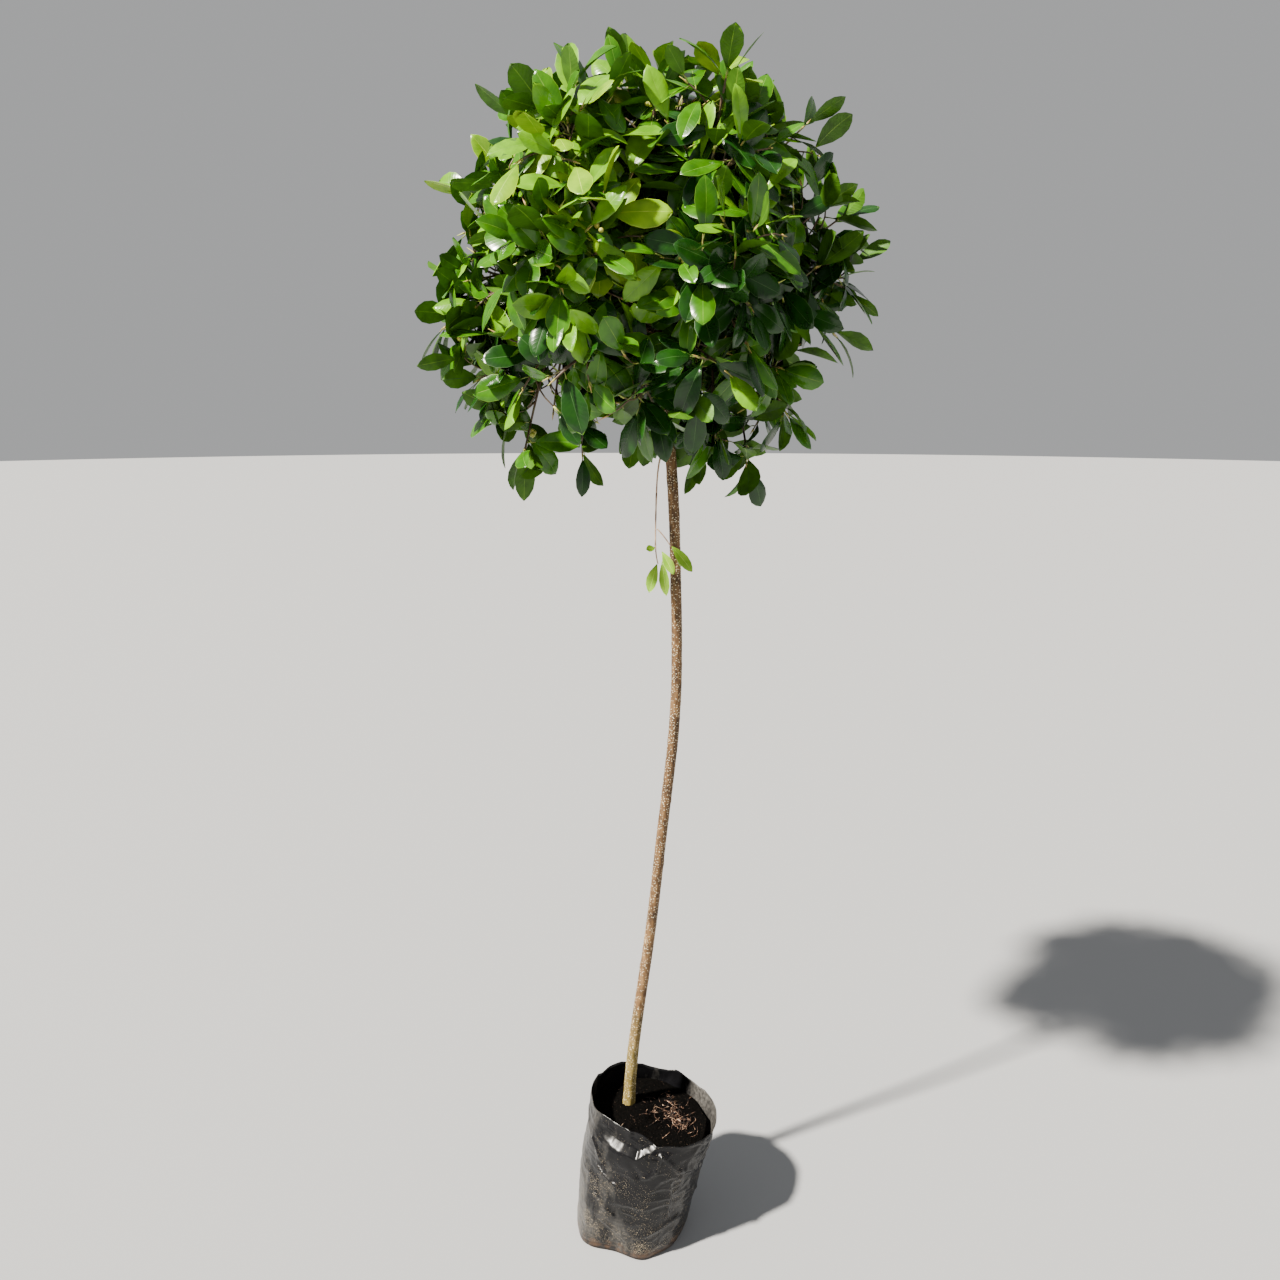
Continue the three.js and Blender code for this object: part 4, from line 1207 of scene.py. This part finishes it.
def make_chips(rng):
    """Slivers and fibres that lie on the compost in small tangled clumps, most of them heaped to the right of
    the trunk."""
    clumps = rng.normal(0, 1, (16, 2)) @ np.array([[22.0, -17.0], [5.0, 6.0]]) + np.array([76.0, 6.0])
    heap = clumps[rng.integers(0, len(clumps), CHIPS)] + rng.normal(0, 6.5, (CHIPS, 2))
    trail = np.array([[30, 44], [44, 52], [60, 60], [24, 18], [40, 14]])[rng.integers(0, 5, CHIPS // 6)]
    trail = trail + rng.normal(0, 3, trail.shape)
    loose = rng.uniform(-1, 1, (CHIPS // 7, 2)) * 60 + np.array([38.0, 0.0])
    place = np.vstack([heap, trail, loose])
    inside = np.hypot(place[:, 0] - BAG_LEAN * 0.89, place[:, 1]) < 86
    clear = np.hypot(place[:, 0] - STEM_FOOT[0], place[:, 1] - STEM_FOOT[1]) > 20
    place = place[inside & clear]
    number = len(place)
    turn = rng.uniform(0, 2 * math.pi, number)
    crumb = rng.random(number) < 0.12
    length = np.where(crumb, rng.uniform(2.5, 5, number), rng.gamma(2.6, 3.8, number) + 5)
    half = np.stack([np.cos(turn), np.sin(turn), rng.normal(0, 0.22, number)], axis=-1) * length[:, None] / 2
    lift = np.where(np.arange(number) < CHIPS * 0.8, rng.uniform(0.4, 4.5, number), 0.8)
    middle = np.column_stack([place, compost_height(*place.T) + lift])
    bend = middle + rng.normal(0, 0.3, (number, 3)) * length[:, None] * np.array([1, 1, 0.3])
    wide = np.where(crumb, rng.uniform(0.8, 1.4, number), rng.uniform(0.28, 0.6, number))
    slivers = tubes(middle - half, bend, middle + half, (wide, wide * 0.6), 4, 5)
    dress(add_tubes("compost_chips", [slivers], chip_skin()), "soil")


def add_tubes(name, groups, material):
    """Several sets of points, walls and caps as one mesh."""
    points, start, sides = [], 0, {}
    for group_points, walls, caps in groups:
        points.append(group_points)
        for faces in (walls, caps):
            sides.setdefault(faces.shape[1], []).append(faces + start)
        start += len(group_points)
    return add_mesh(name, np.vstack(points), [np.vstack(faces) for faces in sides.values()], [material])


def dress(piece, slot, *nodes):
    """The piece rides the frame and stands for the given nodes, whose parts it hides. slot is not used."""
    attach(piece, "root")
    if nodes:
        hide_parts(*nodes)


# Camera, light and floor

def make_camera():
    """The photograph's view: 1.42 m in front of the plant, 1.32 m up, looking 13 degrees down."""
    data = bpy.data.cameras.new("camera")
    data.sensor_width = 36
    data.lens = 28.125
    camera = bpy.data.objects.new("camera", data)
    camera.location = EYE * MM
    camera.rotation_euler = (77 * DEGREE, 0, 0)
    bpy.context.scene.collection.objects.link(camera)
    bpy.context.scene.camera = camera


def add_lamp(kind, name, place, target, size, power, colour):
    """A lamp at place that faces target. size is the width of a DISK in metres or the angle of a SUN."""
    data = bpy.data.lights.new(name, "SUN" if kind == "SUN" else "AREA")
    data.color = colour
    data.energy = power
    if kind == "SUN":
        data.angle = size
    else:
        data.shape, data.size = "DISK", size
    lamp = bpy.data.objects.new(name, data)
    lamp.location = place
    aim = np.array(target) - np.array(place)
    flat = math.hypot(aim[0], aim[1])
    lamp.rotation_euler = (math.pi / 2 + math.atan2(aim[2], flat), 0, math.atan2(-aim[0], aim[1]))
    bpy.context.scene.collection.objects.link(lamp)


def make_lights():
    """An even key from the upper left front, a weak fill from the right, and a pale even world."""
    add_lamp("SUN", "key", (-2.7, -1.6, 4.5), (0, 0, 1.1), 3.2 * DEGREE, 16.5, (1.0, 0.94, 0.84))
    add_lamp("DISK", "fill", (2.4, -1.6, 1.8), (0, 0, 1.0), 1.6, 3, (1.0, 1.0, 1.0))
    world = bpy.data.worlds.new("studio")
    world.use_nodes = True
    background = world.node_tree.nodes["Background"]
    background.inputs["Color"].default_value = linear("#f4f5f6")
    background.inputs["Strength"].default_value = 0.46
    bpy.context.scene.world = world


def make_floor():
    """A plain pale floor, 60 m across, on which the bag stands."""
    material, _, shader = new_material("studio_floor", 0.9)
    shader.inputs["Base Color"].default_value = linear("#9c9d9f")
    turn = np.linspace(0, 2 * math.pi, 96, endpoint=False)
    circle = [FLOOR_RADIUS * np.cos(turn), FLOOR_RADIUS * np.sin(turn), 0 * turn - FLOOR_DROP]
    edge = np.stack(circle, axis=-1)
    add_mesh("floor", edge, [np.arange(96)[None]], [material])


def main():
    """The stage, then the bag, the compost and the plant."""
    make_camera()
    make_lights()
    make_floor()
    make_bag()
    make_compost()
    make_limbs()
    make_foliage()
    make_hanging_shoot()


main()
